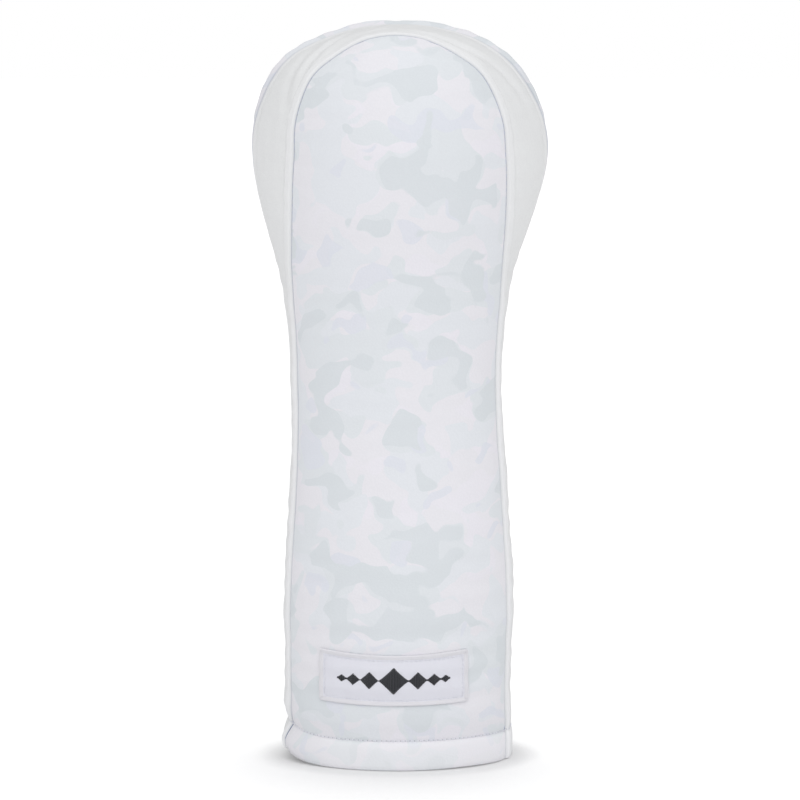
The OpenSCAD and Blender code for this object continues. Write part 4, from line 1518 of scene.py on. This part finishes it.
def care_tag():
    """Blank tag inside the mouth, on the left part of the back's range across."""
    share, z = np.meshgrid(np.linspace(1, 0, 14), np.linspace(HEM_H - 4, HEM_H + 24, 34))
    hem = 2 * SHELL_T
    depth = np.interp(
        z,
        [HEM_H - 4, HEM_H - 0.5, HEM_H + 3, HEM_H + 8, HEM_H + 24],
        [hem + 0.15, hem + 0.2, hem + 1.8, LINING_IN + 0.45, LINING_IN + 0.6],
    )
    depth = depth + 0.5 * np.sin(share * np.pi) * smooth(z, HEM_H + 6, HEM_H + 22)
    across = -0.34 + 0.2 * share
    outer, _ = place("back", z / STEP, across, -depth)
    inner, _ = place("back", z / STEP, across, -depth - 0.3)
    ob = sheet("blank_care_tag", outer, inner, np.stack([share * 12, z], -1))
    add(ob, "care_tag", M_SATIN)


care_tag()


# --- Stage, light and camera, in metres ---
def floor_material(glow=0.36):
    """Pale floor with a painted contact shadow: ambient occlusion darkens its colour and its glow close
    to the cover; its glow is weaker for bounced rays.
    """
    mat = Material("floor_mat")
    close = mat.node("AmbientOcclusion", {"Distance": 0.015}, samples=10).outputs["AO"]
    tilt = mat.node("CombineXYZ", {"X": 0.0, "Y": 0.90, "Z": 0.44}).outputs[0]
    inputs = {"Distance": 0.15, "Normal": tilt}
    wide = mat.node("AmbientOcclusion", inputs, samples=10).outputs["AO"]
    # how open the floor is, which sets the painted contact shadow
    open_ = mat.mul(mat.math("POWER", close, 2.1), mat.math("POWER", wide, 1.2))
    open_ = mat.math("MAXIMUM", open_, 0.30)
    grit = mat.noise(mat.millimetres(), scale=0.02)
    lit = mat.add(mat.mul(open_, 0.62), 0.38)
    seen = mat.add(mat.mul(mat.node("LightPath").outputs["Is Camera Ray"], 0.70), 0.30)
    bright = mat.mix(grit, (0.80, 0.80, 0.80, 1), (0.83, 0.83, 0.83, 1))
    return mat.finish(
        Base_Color=mat.mix(open_, (0.50, 0.50, 0.51, 1), bright),
        Roughness=0.9, Specular_IOR_Level=0.05, Emission_Color=(1, 1, 1, 1),
        Emission_Strength=mat.mul(mat.mul(lit, glow), seen),
    )


def build_floor(half=20.0, z=-0.0002):
    material = floor_material()
    mesh = bpy.data.meshes.new("floor")
    corners = [(-half, -half, z), (half, -half, z), (half, half, z), (-half, half, z)]
    mesh.from_pydata(corners, [], [(0, 1, 2, 3)])
    floor = bpy.data.objects.new("floor", mesh)
    bpy.context.scene.collection.objects.link(floor)
    mesh.materials.append(material)


def build_world(low=0.445, high=1.205):
    """Broad soft light from the front and above; the camera itself sees plain white."""
    world = bpy.data.worlds.new("studio")
    bpy.context.scene.world = world
    world.use_nodes = True
    sky = Graph(world.node_tree)
    white = (1, 1, 1, 1)
    toward = {0: sky.node("TexCoord").outputs["Generated"], 1: (0.06, -0.52, 0.84)}
    facing = sky.node("VectorMath", toward, operation="DOT_PRODUCT").outputs["Value"]
    span = {"Value": facing, "From Min": -0.25, "From Max": 0.95, "To Min": low, "To Max": high}
    strength = sky.node("MapRange", span).outputs[0]
    light = sky.node("Background", {0: white, 1: strength}).outputs[0]
    backdrop = sky.node("Background", {0: white, 1: 1.0}).outputs[0]
    camera_ray = sky.node("LightPath").outputs["Is Camera Ray"]
    mixed = sky.node("MixShader", {0: camera_ray, 1: light, 2: backdrop}).outputs[0]
    sky.node("OutputWorld", {0: mixed})


def aimed(name, data, eye, target):
    ob = bpy.data.objects.new(name, data)
    ob.location = eye
    ob.rotation_mode = "QUATERNION"
    ob.rotation_quaternion = (Vector(target) - Vector(eye)).to_track_quat("-Z", "Y")
    bpy.context.scene.collection.objects.link(ob)
    return ob


build_floor()
build_world()
for name, eye, watts in (("key", (-0.3, -2.2, 0.9), 2.75), ("fill", (0.7, -2.1, 0.7), 1.4)):
    lamp = bpy.data.lights.new(name, "AREA")
    lamp.size = 1.2
    lamp.energy = watts
    aimed(name, lamp, eye, target=(0, 0, 0.17))

lens = bpy.data.cameras.new("camera")
lens.sensor_width = 36.0
lens.lens = 171.17
lens.clip_start, lens.clip_end = 0.05, 60
scene = bpy.context.scene
scene.camera = aimed("camera", lens, eye=(0.0009, -1.7, 0.330), target=(0.0009, 0, 0.1608))
scene.view_settings.view_transform = "Standard"
scene.view_settings.look = "None"
